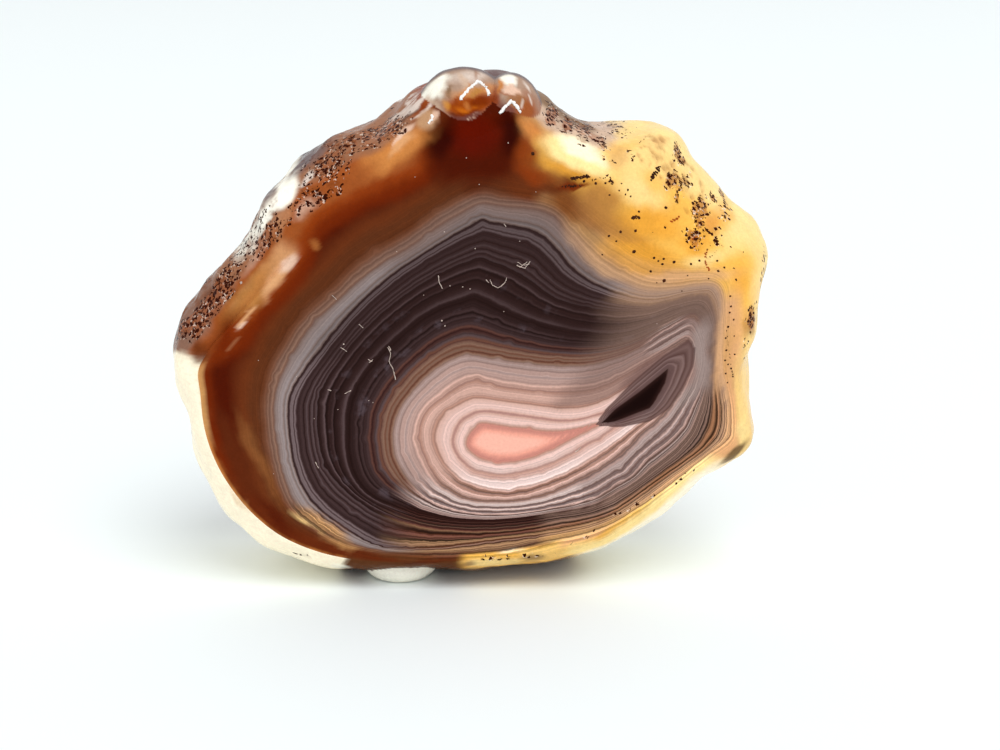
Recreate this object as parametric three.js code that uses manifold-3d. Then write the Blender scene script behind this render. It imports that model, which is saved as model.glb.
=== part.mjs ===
// Agate slice: a thick slab sawn from a banded agate nodule, tumbled and polished, standing on its rim.
// Millimetres, +Z up, +X to the viewer's right, and the main polished face looks along -Y.
// The origin is on the ground, at the middle of the slab's footprint box.
//
// The two sawn faces are flat. Between them runs the nodule's natural skin. It rolls off the front face,
// swells out to a belly, and turns in again to the back face. Round the hub, each of the three rings
// (front edge, belly, back edge) is one distance per direction, so the skin is a grid of rings and columns.
import * as THREE from "three";
import { mergeVertices } from "three/addons/utils/BufferGeometryUtils.js";
import Module from "manifold-3d";

// ---------- driving dimensions ----------
const THICKNESS = 15;
const FRONT_Y = -THICKNESS / 2;
const BACK_Y = THICKNESS / 2;
const HUB = { x: 0, z: 24 };

// The slab's widest outline, seen square on, as [x, z]. It runs clockwise from the left corner.
const BELLY_OUTLINE = [
  [-29.3, 23.4], [-28.9, 25.4], [-28.2, 26.8], [-26.4, 28.6], [-24.0, 32.0], [-21.0, 35.3], [-19.4, 38.7],
  [-17.1, 41.3], [-14.6, 42.8], [-11.8, 44.5], [-8.7, 45.6], [-6.8, 46.8], [-5.0, 48.3], [-2.8, 49.6],
  [0.0, 50.1], [2.3, 49.9], [4.6, 49.4], [6.9, 48.0], [9.0, 46.4], [11.8, 45.2], [16.1, 45.0],
  [18.8, 44.7], [20.6, 43.4], [22.0, 41.6], [23.7, 39.4], [26.7, 36.5], [28.3, 34.9], [29.2, 33.0],
  [28.9, 30.0], [28.3, 26.2], [27.3, 22.6], [28.0, 19.0], [28.4, 16.5], [28.4, 14.6], [27.3, 13.0],
  [24.6, 11.1], [20.8, 7.4], [16.8, 4.0], [14.2, 2.1], [10.7, 0.9], [7.0, -0.2], [0.0, -0.4],
  [-7.0, -0.4], [-12.0, 0.0], [-15.4, 0.5], [-18.8, 1.5], [-22.0, 3.1], [-24.8, 6.1], [-26.7, 9.7],
  [-27.6, 13.6], [-27.9, 17.5], [-28.7, 20.8],
];

// Where the flat front face ends and starts to roll over.
const FACE_EDGE = [
  [-25.6, 17.2], [-25.8, 20.2], [-25.9, 22.6], [-24.9, 24.4], [-22.3, 27.4], [-19.6, 30.3], [-17.0, 33.2],
  [-14.6, 36.4], [-11.6, 39.0], [-7.6, 41.6], [-4.4, 43.8], [-1.6, 45.0], [0.8, 45.0], [2.6, 45.7],
  [4.2, 46.4], [5.4, 45.4], [7.2, 43.6], [10.4, 41.8], [13.2, 39.8], [15.4, 36.6], [18.0, 34.0],
  [22.0, 32.2], [24.6, 30.6], [25.7, 27.6], [25.6, 23.0], [25.4, 18.4], [25.0, 15.2], [23.3, 13.4],
  [20.0, 10.6], [16.8, 7.8], [13.4, 5.6], [8.6, 4.3], [3.6, 3.6], [-1.4, 3.2], [-6.4, 3.1], [-11.0, 3.3],
  [-15.0, 4.2], [-18.6, 5.9], [-21.6, 8.6], [-23.8, 11.8], [-25.0, 14.6],
];

// Depth of the belly behind the middle plane, by direction round the hub in degrees (0 is +X, 90 is +Z).
const BELLY_DEPTH = [
  [0, 0.5], [35, 3.0], [60, 2.5], [90, 1.0], [130, 1.5], [165, 0.5], [200, -1.0], [235, 0.0],
  [262, 3.0], [290, 3.6], [315, 1.0], [340, 0.0],
];

// How square the front shoulder is: 2 is an ellipse, more keeps the edge fuller and less is a chamfer.
const SHOULDER = [
  [0, 2.2], [35, 1.9], [60, 1.9], [90, 2.3], [112, 2.5], [160, 2.8], [182, 2.2], [200, 1.7], [250, 1.5],
  [300, 1.5], [330, 1.7], [345, 2.1],
];

// The ledge where the softer skin broke away along the front edge: its drop in mm, by direction.
const LEDGE = [
  [0, 0], [104, 0], [122, 0.45], [140, 0.55], [168, 0.65], [184, 0.2], [196, 0],
];
const BACK_INSET = 2.8;
const BACK_SHOULDER = 2.5;

// The skin's shallow swells: height in mm, then waves per mm along x, y and z, and a phase.
const SWELLS = [
  { height: 0.22, along: [0.52, 0.3, 0.44], phase: 0.4 },
  { height: 0.14, along: [-0.83, 0.46, 0.77], phase: 1.9 },
  { height: 0.08, along: [1.35, -0.9, 1.1], phase: 3.1 },
];

// Glassy lobes at the top and the foot below, each an ellipsoid with its centre and half-sizes.
const LOBES = [
  { at: [-0.3, -2.4, 46.85], half: [4.5, 4.9, 4.15], turn: 8 },
  { at: [4.2, -2.5, 46.9], half: [2.9, 4.7, 3.55], turn: -16 },
];
const FOOT = { at: [-7.0, -2.6, 1.7], half: [3.9, 3.6, 2.4], turn: 0 };

// Pits that weathering left in the skin, by patches: directions in degrees, share of the way from the
// front edge to the belly (0 to 1) or past it to the back edge (1 to 2), how many, and radii in mm.
const PIT_PATCHES = [
  { from: 158, to: 178, near: 0.5, far: 1.2, count: 20, small: 0.3, large: 0.55 },
  { from: 118, to: 158, near: 0.5, far: 1.15, count: 32, small: 0.3, large: 0.55 },
  { from: 58, to: 70, near: 0.5, far: 1.1, count: 12, small: 0.3, large: 0.5 },
  { from: 33, to: 50, near: 0.42, far: 0.72, count: 18, small: 0.3, large: 0.6 },
  { from: 4, to: 20, near: 0.55, far: 1.2, count: 10, small: 0.3, large: 0.5 },
  { from: 196, to: 205, near: 0.6, far: 1.1, count: 5, small: 0.3, large: 0.45 },
];
const PIT_SEED = 20771;
const PIT_LIFT = 0.35; // how far a pit's ball stands out of the skin, as a share of its radius
const PIT_TURNS = 7; // each ball is turned by its direction times this, so that no two facets line up

// ---------- resolution ----------
const COLUMNS = 132;
const RING_SHARES = [0, 0.025, 0.1, 0.22, 0.36, 0.52, 0.68, 0.84, 1, 1.16, 1.34, 1.54, 1.76, 2];
const CURVE_STEPS = 8;
const LUMP_SLICES = 26;
const LUMP_RINGS = 16;

// ---------- outlines as one radius per direction ----------
function closedCurve(points) {
  const curve = new THREE.CatmullRomCurve3(
    points.map(([x, z]) => new THREE.Vector3(x, 0, z)),
    true,
    "centripetal",
  );
  return curve.getPoints(points.length * CURVE_STEPS).slice(0, -1);
}

// A function from direction (radians) to distance from the hub.
function radiusFrom(points) {
  const polar = closedCurve(points)
    .map((p) => ({
      angle: Math.atan2(p.z - HUB.z, p.x - HUB.x),
      radius: Math.hypot(p.x - HUB.x, p.z - HUB.z),
    }))
    .sort((a, b) => a.angle - b.angle);
  const first = polar[0];
  const last = polar[polar.length - 1];
  const ring = [
    { angle: last.angle - 2 * Math.PI, radius: last.radius },
    ...polar,
    { angle: first.angle + 2 * Math.PI, radius: first.radius },
  ];
  return (angle) => {
    const turned = Math.atan2(Math.sin(angle), Math.cos(angle));
    const next = ring.findIndex((p) => p.angle >= turned);
    const [a, b] = [ring[next - 1], ring[next]];
    return a.radius + ((b.radius - a.radius) * (turned - a.angle)) / (b.angle - a.angle);
  };
}

// A function from direction (radians) to a value that eases between the stops of a table.
function easedRound(table) {
  return (angle) => {
    const degrees = (((angle * 180) / Math.PI) % 360 + 360) % 360;
    let next = table.findIndex(([at]) => at > degrees);
    if (next < 0) next = table.length;
    const [a, from] = table[next - 1];
    const [b, to] = next < table.length ? table[next] : [table[0][0] + 360, table[0][1]];
    const t = (degrees - a) / (b - a);
    return from + (to - from) * t * t * (3 - 2 * t);
  };
}

const bellyRadius = radiusFrom(BELLY_OUTLINE);
const faceRadius = radiusFrom(FACE_EDGE);
const bellyDepth = easedRound(BELLY_DEPTH);
const shoulder = easedRound(SHOULDER);
const ledge = easedRound(LEDGE);

function swell(x, y, z) {
  return SWELLS.reduce(
    (sum, w) => sum + w.height * Math.sin(w.along[0] * x + w.along[1] * y + w.along[2] * z + w.phase),
    0,
  );
}

// The skin's point in one direction: share 0 is the front edge, 1 the belly and 2 the back edge.
function skinPoint(angle, share) {
  const outer = bellyRadius(angle);
  const belly = bellyDepth(angle);
  const isFront = share <= 1;
  const inner = isFront ? faceRadius(angle) : outer - BACK_INSET;
  const face = isFront ? FRONT_Y : BACK_Y;
  const power = 2 / (isFront ? shoulder(angle) : BACK_SHOULDER);
  const turn = ((isFront ? share : 2 - share) * Math.PI) / 2;
  const outward = Math.sin(turn) ** power;
  const inward = Math.max(0, Math.cos(turn)) ** power;
  const drop = isFront && share > 0 ? ledge(angle) * inward : 0;
  const y = belly + (face - belly) * inward + drop;
  const radius = inner + (outer - inner) * outward;
  const rise = outward * swell(radius * Math.cos(angle), y, radius * Math.sin(angle));
  return new THREE.Vector3(
    HUB.x + (radius + rise) * Math.cos(angle),
    y,
    HUB.z + (radius + rise) * Math.sin(angle),
  );
}

// ---------- solids ----------
const wasm = await Module();
wasm.setup();

function solidFrom(geometry) {
  geometry.deleteAttribute("normal");
  geometry.deleteAttribute("uv");
  const merged = mergeVertices(geometry, 1e-4);
  return new wasm.Manifold(
    new wasm.Mesh({
      numProp: 3,
      vertProperties: new Float32Array(merged.attributes.position.array),
      triVerts: new Uint32Array(merged.index.array),
    }),
  );
}

function geometryFrom(solid) {
  const mesh = solid.getMesh();
  const geometry = new THREE.BufferGeometry();
  geometry.setAttribute("position", new THREE.BufferAttribute(new Float32Array(mesh.vertProperties), 3));
  geometry.setIndex(new THREE.BufferAttribute(new Uint32Array(mesh.triVerts), 1));
  return geometry;
}

// The slab before its lobes and pits: rings of skin between two flat faces.
function makeSlab() {
  const rings = RING_SHARES.length - 1;
  const positions = [];
  for (const share of RING_SHARES) {
    for (let column = 0; column < COLUMNS; column++) {
      positions.push(...skinPoint((column / COLUMNS) * 2 * Math.PI, share).toArray());
    }
  }
  const faces = [];
  for (let ring = 0; ring < rings; ring++) {
    for (let column = 0; column < COLUMNS; column++) {
      const a = ring * COLUMNS + column;
      const b = ring * COLUMNS + ((column + 1) % COLUMNS);
      faces.push(a, a + COLUMNS, b, b, a + COLUMNS, b + COLUMNS);
    }
  }
  const flatRing = (ring) => {
    const start = ring * COLUMNS;
    const contour = [];
    for (let column = 0; column < COLUMNS; column++) {
      contour.push(new THREE.Vector2(positions[(start + column) * 3], positions[(start + column) * 3 + 2]));
    }
    return THREE.ShapeUtils.triangulateShape(contour, []).map((t) => t.map((i) => start + i));
  };
  for (const [a, b, c] of flatRing(0)) faces.push(a, b, c);
  for (const [a, b, c] of flatRing(rings)) faces.push(a, c, b);
  const geometry = new THREE.BufferGeometry();
  geometry.setAttribute("position", new THREE.Float32BufferAttribute(positions, 3));
  geometry.setIndex(faces);
  return solidFrom(geometry);
}

// A rounded lump that stands out of the rim.
function makeLump({ at, half, turn }) {
  const geometry = new THREE.SphereGeometry(1, LUMP_SLICES, LUMP_RINGS);
  geometry.scale(...half);
  geometry.rotateY((turn * Math.PI) / 180);
  geometry.translate(...at);
  return solidFrom(geometry);
}

// A repeatable run of numbers from 0 to 1.
function seededNumbers(seed) {
  let state = seed;
  return () => {
    state = (state * 16807) % 2147483647;
    return state / 2147483647;
  };
}

// Each pit as a small ball, where the skin of its patch is.
const PROBE = 0.01; // the small step that finds the skin's slope
function makePits() {
  const next = seededNumbers(PIT_SEED);
  const pits = [];
  for (const patch of PIT_PATCHES) {
    for (let i = 0; i < patch.count; i++) {
      const angle = ((patch.from + (patch.to - patch.from) * next()) * Math.PI) / 180;
      const share = patch.near + (patch.far - patch.near) * next();
      const radius = patch.small + (patch.large - patch.small) * next() ** 2;
      const centre = skinPoint(angle, share);
      const along = skinPoint(angle, share + PROBE).sub(centre);
      const across = skinPoint(angle + PROBE, share).sub(centre);
      const outward = across.cross(along).normalize();
      centre.addScaledVector(outward, radius * PIT_LIFT);
      const ball = new THREE.IcosahedronGeometry(radius, 0);
      ball.rotateX(angle * PIT_TURNS);
      ball.translate(...centre.toArray());
      pits.push(solidFrom(ball));
    }
  }
  return pits;
}

// Everything under the ground plane, which the rim's lowest part is ground flat to.
function makeGround() {
  const [width, length, depth] = [90, 60, 6];
  const ground = new THREE.BoxGeometry(width, length, depth);
  ground.translate(0, 0, -depth / 2);
  return solidFrom(ground);
}

function makeAgate() {
  let stone = makeSlab();
  for (const lobe of LOBES) stone = stone.add(makeLump(lobe));
  stone = stone.add(makeLump(FOOT));
  for (const pit of makePits()) stone = stone.subtract(pit);
  return stone.subtract(makeGround());
}

const banded = new THREE.MeshStandardMaterial({ color: 0x8a6a5c, roughness: 0.18, metalness: 0 });
const agate = new THREE.Mesh(geometryFrom(makeAgate()), banded);
agate.name = "agate_slice";

const group = new THREE.Group();
group.add(agate);
export default group;
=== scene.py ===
# %% [markdown]
# # A slice of banded agate
#
# The real thing is one stone: a slab sawn from a nodule, tumbled until its rim is round and its two sawn
# faces shine. Everything that makes it look like agate is in three layers. The shape is a flat-faced slab
# with a lumpy, pitted skin. The bands are growth lines, so one smooth number, how far the stone had grown
# inwards, gives them all. The stains are iron clouds that ignore the bands. This script builds the layers in
# that order.

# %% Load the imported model
import math

import bpy
import numpy as np
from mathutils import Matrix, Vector, noise


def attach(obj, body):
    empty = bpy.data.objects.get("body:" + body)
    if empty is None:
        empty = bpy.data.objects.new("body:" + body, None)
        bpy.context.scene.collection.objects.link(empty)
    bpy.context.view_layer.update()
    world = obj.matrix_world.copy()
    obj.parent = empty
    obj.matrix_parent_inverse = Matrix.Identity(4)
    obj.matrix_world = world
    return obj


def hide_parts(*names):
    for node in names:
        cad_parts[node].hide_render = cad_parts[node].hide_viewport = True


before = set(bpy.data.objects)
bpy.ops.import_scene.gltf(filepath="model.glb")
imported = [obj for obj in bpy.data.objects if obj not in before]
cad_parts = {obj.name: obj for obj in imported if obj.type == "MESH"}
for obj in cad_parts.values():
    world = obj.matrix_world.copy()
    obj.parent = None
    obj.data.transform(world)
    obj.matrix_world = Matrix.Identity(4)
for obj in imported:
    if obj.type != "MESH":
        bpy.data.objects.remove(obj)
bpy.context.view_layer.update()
MM = 0.001
STONE_NODE = "agate_slice"

# %% [markdown]
# ## The skin as a formula
#
# Seen square on, each direction from a hub inside the slab meets three outlines once: the edge of the front
# face, the belly where the rim is widest, and the edge of the back face. A point of the skin is then two
# numbers, a direction and a share of the way from front to back. That is easier to carve and to paint than a
# sculpted blob, and the same tables give the solid and this finer mesh.

# %% Outlines of the slab, in millimetres
FRONT_Y, BACK_Y = -7.5, 7.5
HUB = np.array([0.0, 24.0])
BELLY_OUTLINE = [
    (-29.3, 23.4), (-28.9, 25.4), (-28.2, 26.8), (-26.4, 28.6), (-24.0, 32.0), (-21.0, 35.3), (-19.4, 38.7),
    (-17.1, 41.3), (-14.6, 42.8), (-11.8, 44.5), (-8.7, 45.6), (-6.8, 46.8), (-5.0, 48.3), (-2.8, 49.6),
    (0.0, 50.1), (2.3, 49.9), (4.6, 49.4), (6.9, 48.0), (9.0, 46.4), (11.8, 45.2), (16.1, 45.0),
    (18.8, 44.7), (20.6, 43.4), (22.0, 41.6), (23.7, 39.4), (26.7, 36.5), (28.3, 34.9), (29.2, 33.0),
    (28.9, 30.0), (28.3, 26.2), (27.3, 22.6), (28.0, 19.0), (28.4, 16.5), (28.4, 14.6), (27.3, 13.0),
    (24.6, 11.1), (20.8, 7.4), (16.8, 4.0), (14.2, 2.1), (10.7, 0.9), (7.0, -0.2), (0.0, -0.4),
    (-7.0, -0.4), (-12.0, 0.0), (-15.4, 0.5), (-18.8, 1.5), (-22.0, 3.1), (-24.8, 6.1), (-26.7, 9.7),
    (-27.6, 13.6), (-27.9, 17.5), (-28.7, 20.8),
]
FACE_EDGE = [
    (-25.6, 17.2), (-25.8, 20.2), (-25.9, 22.6), (-24.9, 24.4), (-22.3, 27.4), (-19.6, 30.3), (-17.0, 33.2),
    (-14.6, 36.4), (-11.6, 39.0), (-7.6, 41.6), (-4.4, 43.8), (-1.6, 45.0), (0.8, 45.0), (2.6, 45.7),
    (4.2, 46.4), (5.4, 45.4), (7.2, 43.6), (10.4, 41.8), (13.2, 39.8), (15.4, 36.6), (18.0, 34.0),
    (22.0, 32.2), (24.6, 30.6), (25.7, 27.6), (25.6, 23.0), (25.4, 18.4), (25.0, 15.2), (23.3, 13.4),
    (20.0, 10.6), (16.8, 7.8), (13.4, 5.6), (8.6, 4.3), (3.6, 3.6), (-1.4, 3.2), (-6.4, 3.1), (-11.0, 3.3),
    (-15.0, 4.2), (-18.6, 5.9), (-21.6, 8.6), (-23.8, 11.8), (-25.0, 14.6),
]
# Each table below is a value by direction in degrees: 0 is +X and 90 is straight up.
BELLY_DEPTH = [(0, 0.5), (35, 3.0), (60, 2.5), (90, 1.0), (130, 1.5), (165, 0.5), (200, -1.0), (235, 0.0),
               (262, 3.0), (290, 3.6), (315, 1.0), (340, 0.0)]
SHOULDER = [(0, 2.2), (35, 1.9), (60, 1.9), (90, 2.3), (112, 2.5), (160, 2.8), (182, 2.2), (200, 1.7),
            (250, 1.5), (300, 1.5), (330, 1.7), (345, 2.1)]
LEDGE = [(0, 0), (142, 0), (158, 0.5), (170, 0.65), (184, 0.2), (196, 0)]
BACK_INSET, BACK_SHOULDER = 2.8, 2.5
SWELLS = [(0.22, (0.52, 0.3, 0.44), 0.4), (0.14, (-0.83, 0.46, 0.77), 1.9), (0.08, (1.35, -0.9, 1.1), 3.1)]
# Round lumps: centre, half-sizes and the turn about Y in degrees.
KNOB_LUMPS = [((-0.3, -2.4, 46.85), (4.5, 4.9, 4.15), 8), ((4.2, -2.5, 46.9), (2.9, 4.7, 3.55), -16)]
FOOT_LUMP = ((-7.0, -2.6, 1.7), (3.9, 3.6, 2.4), 0)


# %% Curves and tables as functions of direction
def closed_curve(points, steps=8):
    """A smooth closed line through the points: a centripetal Catmull-Rom spline."""
    points = np.array(points, float)
    count = len(points)
    t = (np.arange(steps) / steps)[:, None]
    line = []
    for i in range(count):
        p0, p1, p2, p3 = (points[(i + k) % count] for k in (-1, 0, 1, 2))
        d0, d1, d2 = (math.sqrt(math.dist(a, b)) for a, b in ((p0, p1), (p1, p2), (p2, p3)))
        m1 = ((p1 - p0) / d0 - (p2 - p0) / (d0 + d1) + (p2 - p1) / d1) * d1
        m2 = ((p2 - p1) / d1 - (p3 - p1) / (d1 + d2) + (p3 - p2) / d2) * d1
        a, b = 2 * (p1 - p2) + m1 + m2, 3 * (p2 - p1) - 2 * m1 - m2
        line.append(a * t**3 + b * t**2 + m1 * t + p1)
    return np.concatenate(line)


def radius_by_direction(points):
    """The distance from the hub to an outline, as a function of direction in radians."""
    from_hub = closed_curve(points) - HUB
    directions = np.arctan2(from_hub[:, 1], from_hub[:, 0]) % math.tau
    order = np.argsort(directions)
    radii = np.hypot(*from_hub.T)
    return lambda angle: np.interp(angle % math.tau, directions[order], radii[order], period=math.tau)


def eased_by_direction(table):
    """A value that eases between the stops of a table of (degrees, value)."""
    stops = np.array([*table, (table[0][0] + 360, table[0][1])], float)

    def value(angle):
        degrees = np.degrees(angle) % 360
        i = np.clip(np.searchsorted(stops[:, 0], degrees, side="right") - 1, 0, len(stops) - 2)
        t = (degrees - stops[i, 0]) / (stops[i + 1, 0] - stops[i, 0])
        return stops[i, 1] + (stops[i + 1, 1] - stops[i, 1]) * t * t * (3 - 2 * t)

    return value


belly_radius, face_radius = radius_by_direction(BELLY_OUTLINE), radius_by_direction(FACE_EDGE)
belly_depth, shoulder, ledge = (eased_by_direction(t) for t in (BELLY_DEPTH, SHOULDER, LEDGE))
print("Widest radius from the hub:", round(float(belly_radius(np.linspace(0, math.tau, 400)).max()), 1), "mm")


# %% The skin's point for a direction and a share of the way round
def skin_points(angle, share):
    """Points of the skin: share 0 is the front face's edge, 1 the belly and 2 the back face's edge."""
    outer, belly = belly_radius(angle), belly_depth(angle)
    front = share <= 1
    inner = np.where(front, face_radius(angle), outer - BACK_INSET)
    face = np.where(front, FRONT_Y, BACK_Y)
    power = 2 / np.where(front, shoulder(angle), BACK_SHOULDER)
    turn = np.where(front, share, 2 - share) * math.pi / 2
    outward = np.sin(turn).clip(0) ** power
    inward = np.cos(turn).clip(0) ** power
    drop = np.where(front & (share > 0), ledge(angle) * inward, 0)
    y = belly + (face - belly) * inward + drop
    radius = inner + (outer - inner) * outward
    x, z = radius * np.cos(angle), radius * np.sin(angle)
    rise = sum(h * np.sin(w[0] * x + w[1] * y + w[2] * z + phase) for h, w, phase in SWELLS)
    radius = radius + outward * rise
    return np.stack([HUB[0] + radius * np.cos(angle), y, HUB[1] + radius * np.sin(angle)], -1)


# %% [markdown]
# ## The mesh
#
# A flat face needs points all over it, because the growth value is stored on them, but a fan of triangles
# from the middle would pinch. A square grid bent into a disc has even cells, and its border has one point for
# each column of the rim, so faces and rim share their edge points and the stone stays one closed skin.

# %% Rows and columns
FACE_CELLS = 142  # cells along one side of the bent grid
KNOB_DIRECTION = math.radians(86)
CROWDING = 0.35  # how strongly the columns crowd towards the knob
COLUMNS = 4 * FACE_CELLS
# The rows of the rim crowd at the front face's edge, where the roll is tightest.
RIM_SHARES = np.concatenate([[0, 0.012, 0.024, 0.04, 0.06], np.linspace(0.085, 1.94, 86), [1.97, 2.0]])
RELIEF_FADE = 0.12  # the share over which relief fades out towards both faces


def crowded(angle):
    """Spreads even directions so that more of them point at the knob."""
    return (angle - CROWDING * np.sin(angle - KNOB_DIRECTION)) % math.tau


def bent_grid():
    """For each grid point: its ring from 0 (the middle) to 1 (the border), and its direction."""
    a, b = np.meshgrid(np.linspace(-1, 1, FACE_CELLS + 1), np.linspace(-1, 1, FACE_CELLS + 1), indexing="ij")
    ring = np.maximum(abs(a), abs(b))
    sideways = abs(a) >= abs(b)
    with np.errstate(divide="ignore", invalid="ignore"):
        angle = np.where(sideways, math.pi / 4 * b / a, math.pi / 2 - math.pi / 4 * a / b)
    angle = np.nan_to_num(angle)
    angle = angle + np.where(sideways & (a < 0), math.pi, 0) + np.where(~sideways & (b < 0), math.pi, 0)
    return ring, angle % math.tau


def slab_mesh():
    """Vertices in mm, quads, and each vertex's share: -1 inside the front face and 3 inside the back."""
    column_angle = crowded(np.arange(COLUMNS) * math.tau / COLUMNS)
    share, angle = np.meshgrid(RIM_SHARES, column_angle, indexing="ij")
    rim = skin_points(angle, share).reshape(-1, 3)
    rows = len(RIM_SHARES)
    index = np.arange(rows * COLUMNS).reshape(rows, COLUMNS)
    after = np.roll(index, -1, axis=1)
    quads = [np.stack([index[:-1], index[1:], after[1:], after[:-1]], -1).reshape(-1, 4)]
    points, shares = [rim], [share.ravel()]
    ring, angle = bent_grid()
    border = ring > 1 - 1e-9
    within, count = ~border, int((~border).sum())
    for row, side, far in ((0, 1, -1), (rows - 1, -1, 3)):
        numbers = np.zeros(ring.shape, int)
        numbers[border] = index[row][np.rint(angle[border] / math.tau * COLUMNS).astype(int) % COLUMNS]
        numbers[within] = sum(map(len, points)) + np.arange(count)
        edge = skin_points(crowded(angle[within]), np.full(count, RIM_SHARES[row]))
        centre = np.array([HUB[0], edge[0, 1], HUB[1]])
        points.append(centre + (edge - centre) * ring[within][:, None])
        shares.append(np.full(count, float(far)))
        cells = np.stack([numbers[:-1, :-1], numbers[1:, :-1], numbers[1:, 1:], numbers[:-1, 1:]], -1)
        quads.append(cells.reshape(-1, 4)[:, ::side])
    return np.concatenate(points), np.concatenate(quads), np.concatenate(shares)


points, quads, shares = slab_mesh()
on_skin = (shares > 0) & (shares < 2)
skin_fade = np.where(on_skin, np.clip(np.minimum(shares, 2 - shares) / RELIEF_FADE, 0, 1), 0)
print("Slab:", len(points), "points and", 2 * len(quads), "triangles")


# %% [markdown]
# ## Lumps, relief and pits
#
# The glassy knob and the foot are round lumps that the skin wraps over. Each skin point inside a lump's
# ellipsoid is pushed out to its surface, which leaves the sharp scalloped crease that such lumps have. The
# finer relief is noise along the skin's own direction, and each pit is a small dish. Real pits crowd together
# where softer minerals stood in the skin, so they are scattered in patches.

# %% Push the skin out over the lumps
def push_out(points, centre, half, turn):
    """Points inside a turned ellipsoid move straight out to its surface."""
    c, s = math.cos(math.radians(turn)), math.sin(math.radians(turn))
    turned = np.array([[c, 0, s], [0, 1, 0], [-s, 0, c]])
    local = (points - centre) @ turned / half
    reach = np.linalg.norm(local, axis=1)
    inside = (reach < 1) & on_skin
    local[inside] /= reach[inside][:, None]
    points[inside] = ((local * half) @ turned.T + centre)[inside]
    return inside


knob = np.zeros(len(points), bool)
for lump in KNOB_LUMPS:
    knob |= push_out(points, *lump)
foot = push_out(points, *FOOT_LUMP)
print("Points on the knob:", int(knob.sum()), " on the foot:", int(foot.sum()))


# %% Fine relief
def rim_normals():
    """The outward direction at each rim point, from its neighbours along and across the rim."""
    rim = points[: len(RIM_SHARES) * COLUMNS].reshape(len(RIM_SHARES), COLUMNS, 3)
    along = np.roll(rim, -1, axis=1) - np.roll(rim, 1, axis=1)
    across = np.gradient(rim, axis=0)
    normal = np.cross(across, along)
    normal /= np.linalg.norm(normal, axis=2, keepdims=True).clip(1e-9)
    full = np.zeros_like(points)
    full[: normal.shape[0] * COLUMNS] = normal.reshape(-1, 3)
    return full


def cloud(points, size, octaves=3, shift=0.0):
    """Smooth noise between about -1 and 1, whose blobs are about size across."""
    scaled = points / size + shift
    return np.array([noise.fractal(Vector(p), 1.0, 2.0, octaves) for p in scaled])


RELIEF = [(5.0, 0.10), (1.6, 0.05)]  # blob size and height in mm
normals = rim_normals()
rim_only = np.arange(len(RIM_SHARES) * COLUMNS)
for size, height in RELIEF:
    amount = cloud(points[rim_only], size, shift=7.0 * size) * height * skin_fade[rim_only]
    points[rim_only] += normals[rim_only] * amount[:, None]

# %% Pits
# Directions from and to in degrees, shares from and to, and how many pits are tried there.
PIT_PATCHES = [
    (157, 179, 0.45, 1.25, 150), (118, 157, 0.45, 1.2, 230), (56, 70, 0.45, 1.15, 60),
    (33, 50, 0.4, 0.75, 90), (2, 18, 0.6, 1.25, 50), (196, 205, 0.6, 1.1, 14), (84, 112, 0.95, 1.5, 40),
    (215, 300, 1.1, 1.7, 60),
]
PIT_RADII = (0.16, 0.42)
SMALL_PITS = 2.2  # how much more common small pits are than large ones
CLUMP_SIZE, CLUMP_EDGE = 2.4, -0.12  # pits stay where a noise with blobs of this size passes the edge
PIT_DEPTH = 0.8  # of the radius
PIT_SEED = 20771
random = np.random.default_rng(PIT_SEED)


def pit_spots():
    """Centres and radii of the pits, thinned to clumps by a noise."""
    spots = []
    for low, high, near, far, count in PIT_PATCHES:
        angle = np.radians(random.uniform(low, high, count))
        share = random.uniform(near, far, count)
        radius = PIT_RADII[0] + (PIT_RADII[1] - PIT_RADII[0]) * random.random(count) ** SMALL_PITS
        place = skin_points(angle, share)
        kept = cloud(place, CLUMP_SIZE, 2) > CLUMP_EDGE
        spots.append(np.column_stack([place, radius])[kept])
    return np.concatenate(spots)


spots = pit_spots()
pit = np.zeros(len(points))
depth = np.zeros(len(points))
for x, y, z, radius in spots:
    near = np.flatnonzero((np.abs(points - (x, y, z)).max(axis=1) < 2 * radius) & on_skin)
    reach = np.linalg.norm(points[near] - (x, y, z), axis=1) / radius
    dish = PIT_DEPTH * radius * np.clip(1 - reach**2, 0, 1) ** 1.5
    depth[near] = np.maximum(depth[near], dish)
    pit[near] = np.maximum(pit[near], np.clip(1.5 - reach, 0, 1))
points -= normals * depth[:, None]
points[:, 2] = points[:, 2].clip(0)
print("Pits:", len(spots))

# %% [markdown]
# ## How far the stone had grown
#
# Agate fills a hollow from its wall inwards, so every band is one moment of growth. Nine outlines fix the
# moment at places that matter, such as the start of the dark bands or the last gel in the eye. Between two
# outlines the moment goes with the ratio of the distances to them, so the bands squeeze where the
# outlines squeeze. Growth is in millimetres, counted along the widest, left-hand side.

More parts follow.
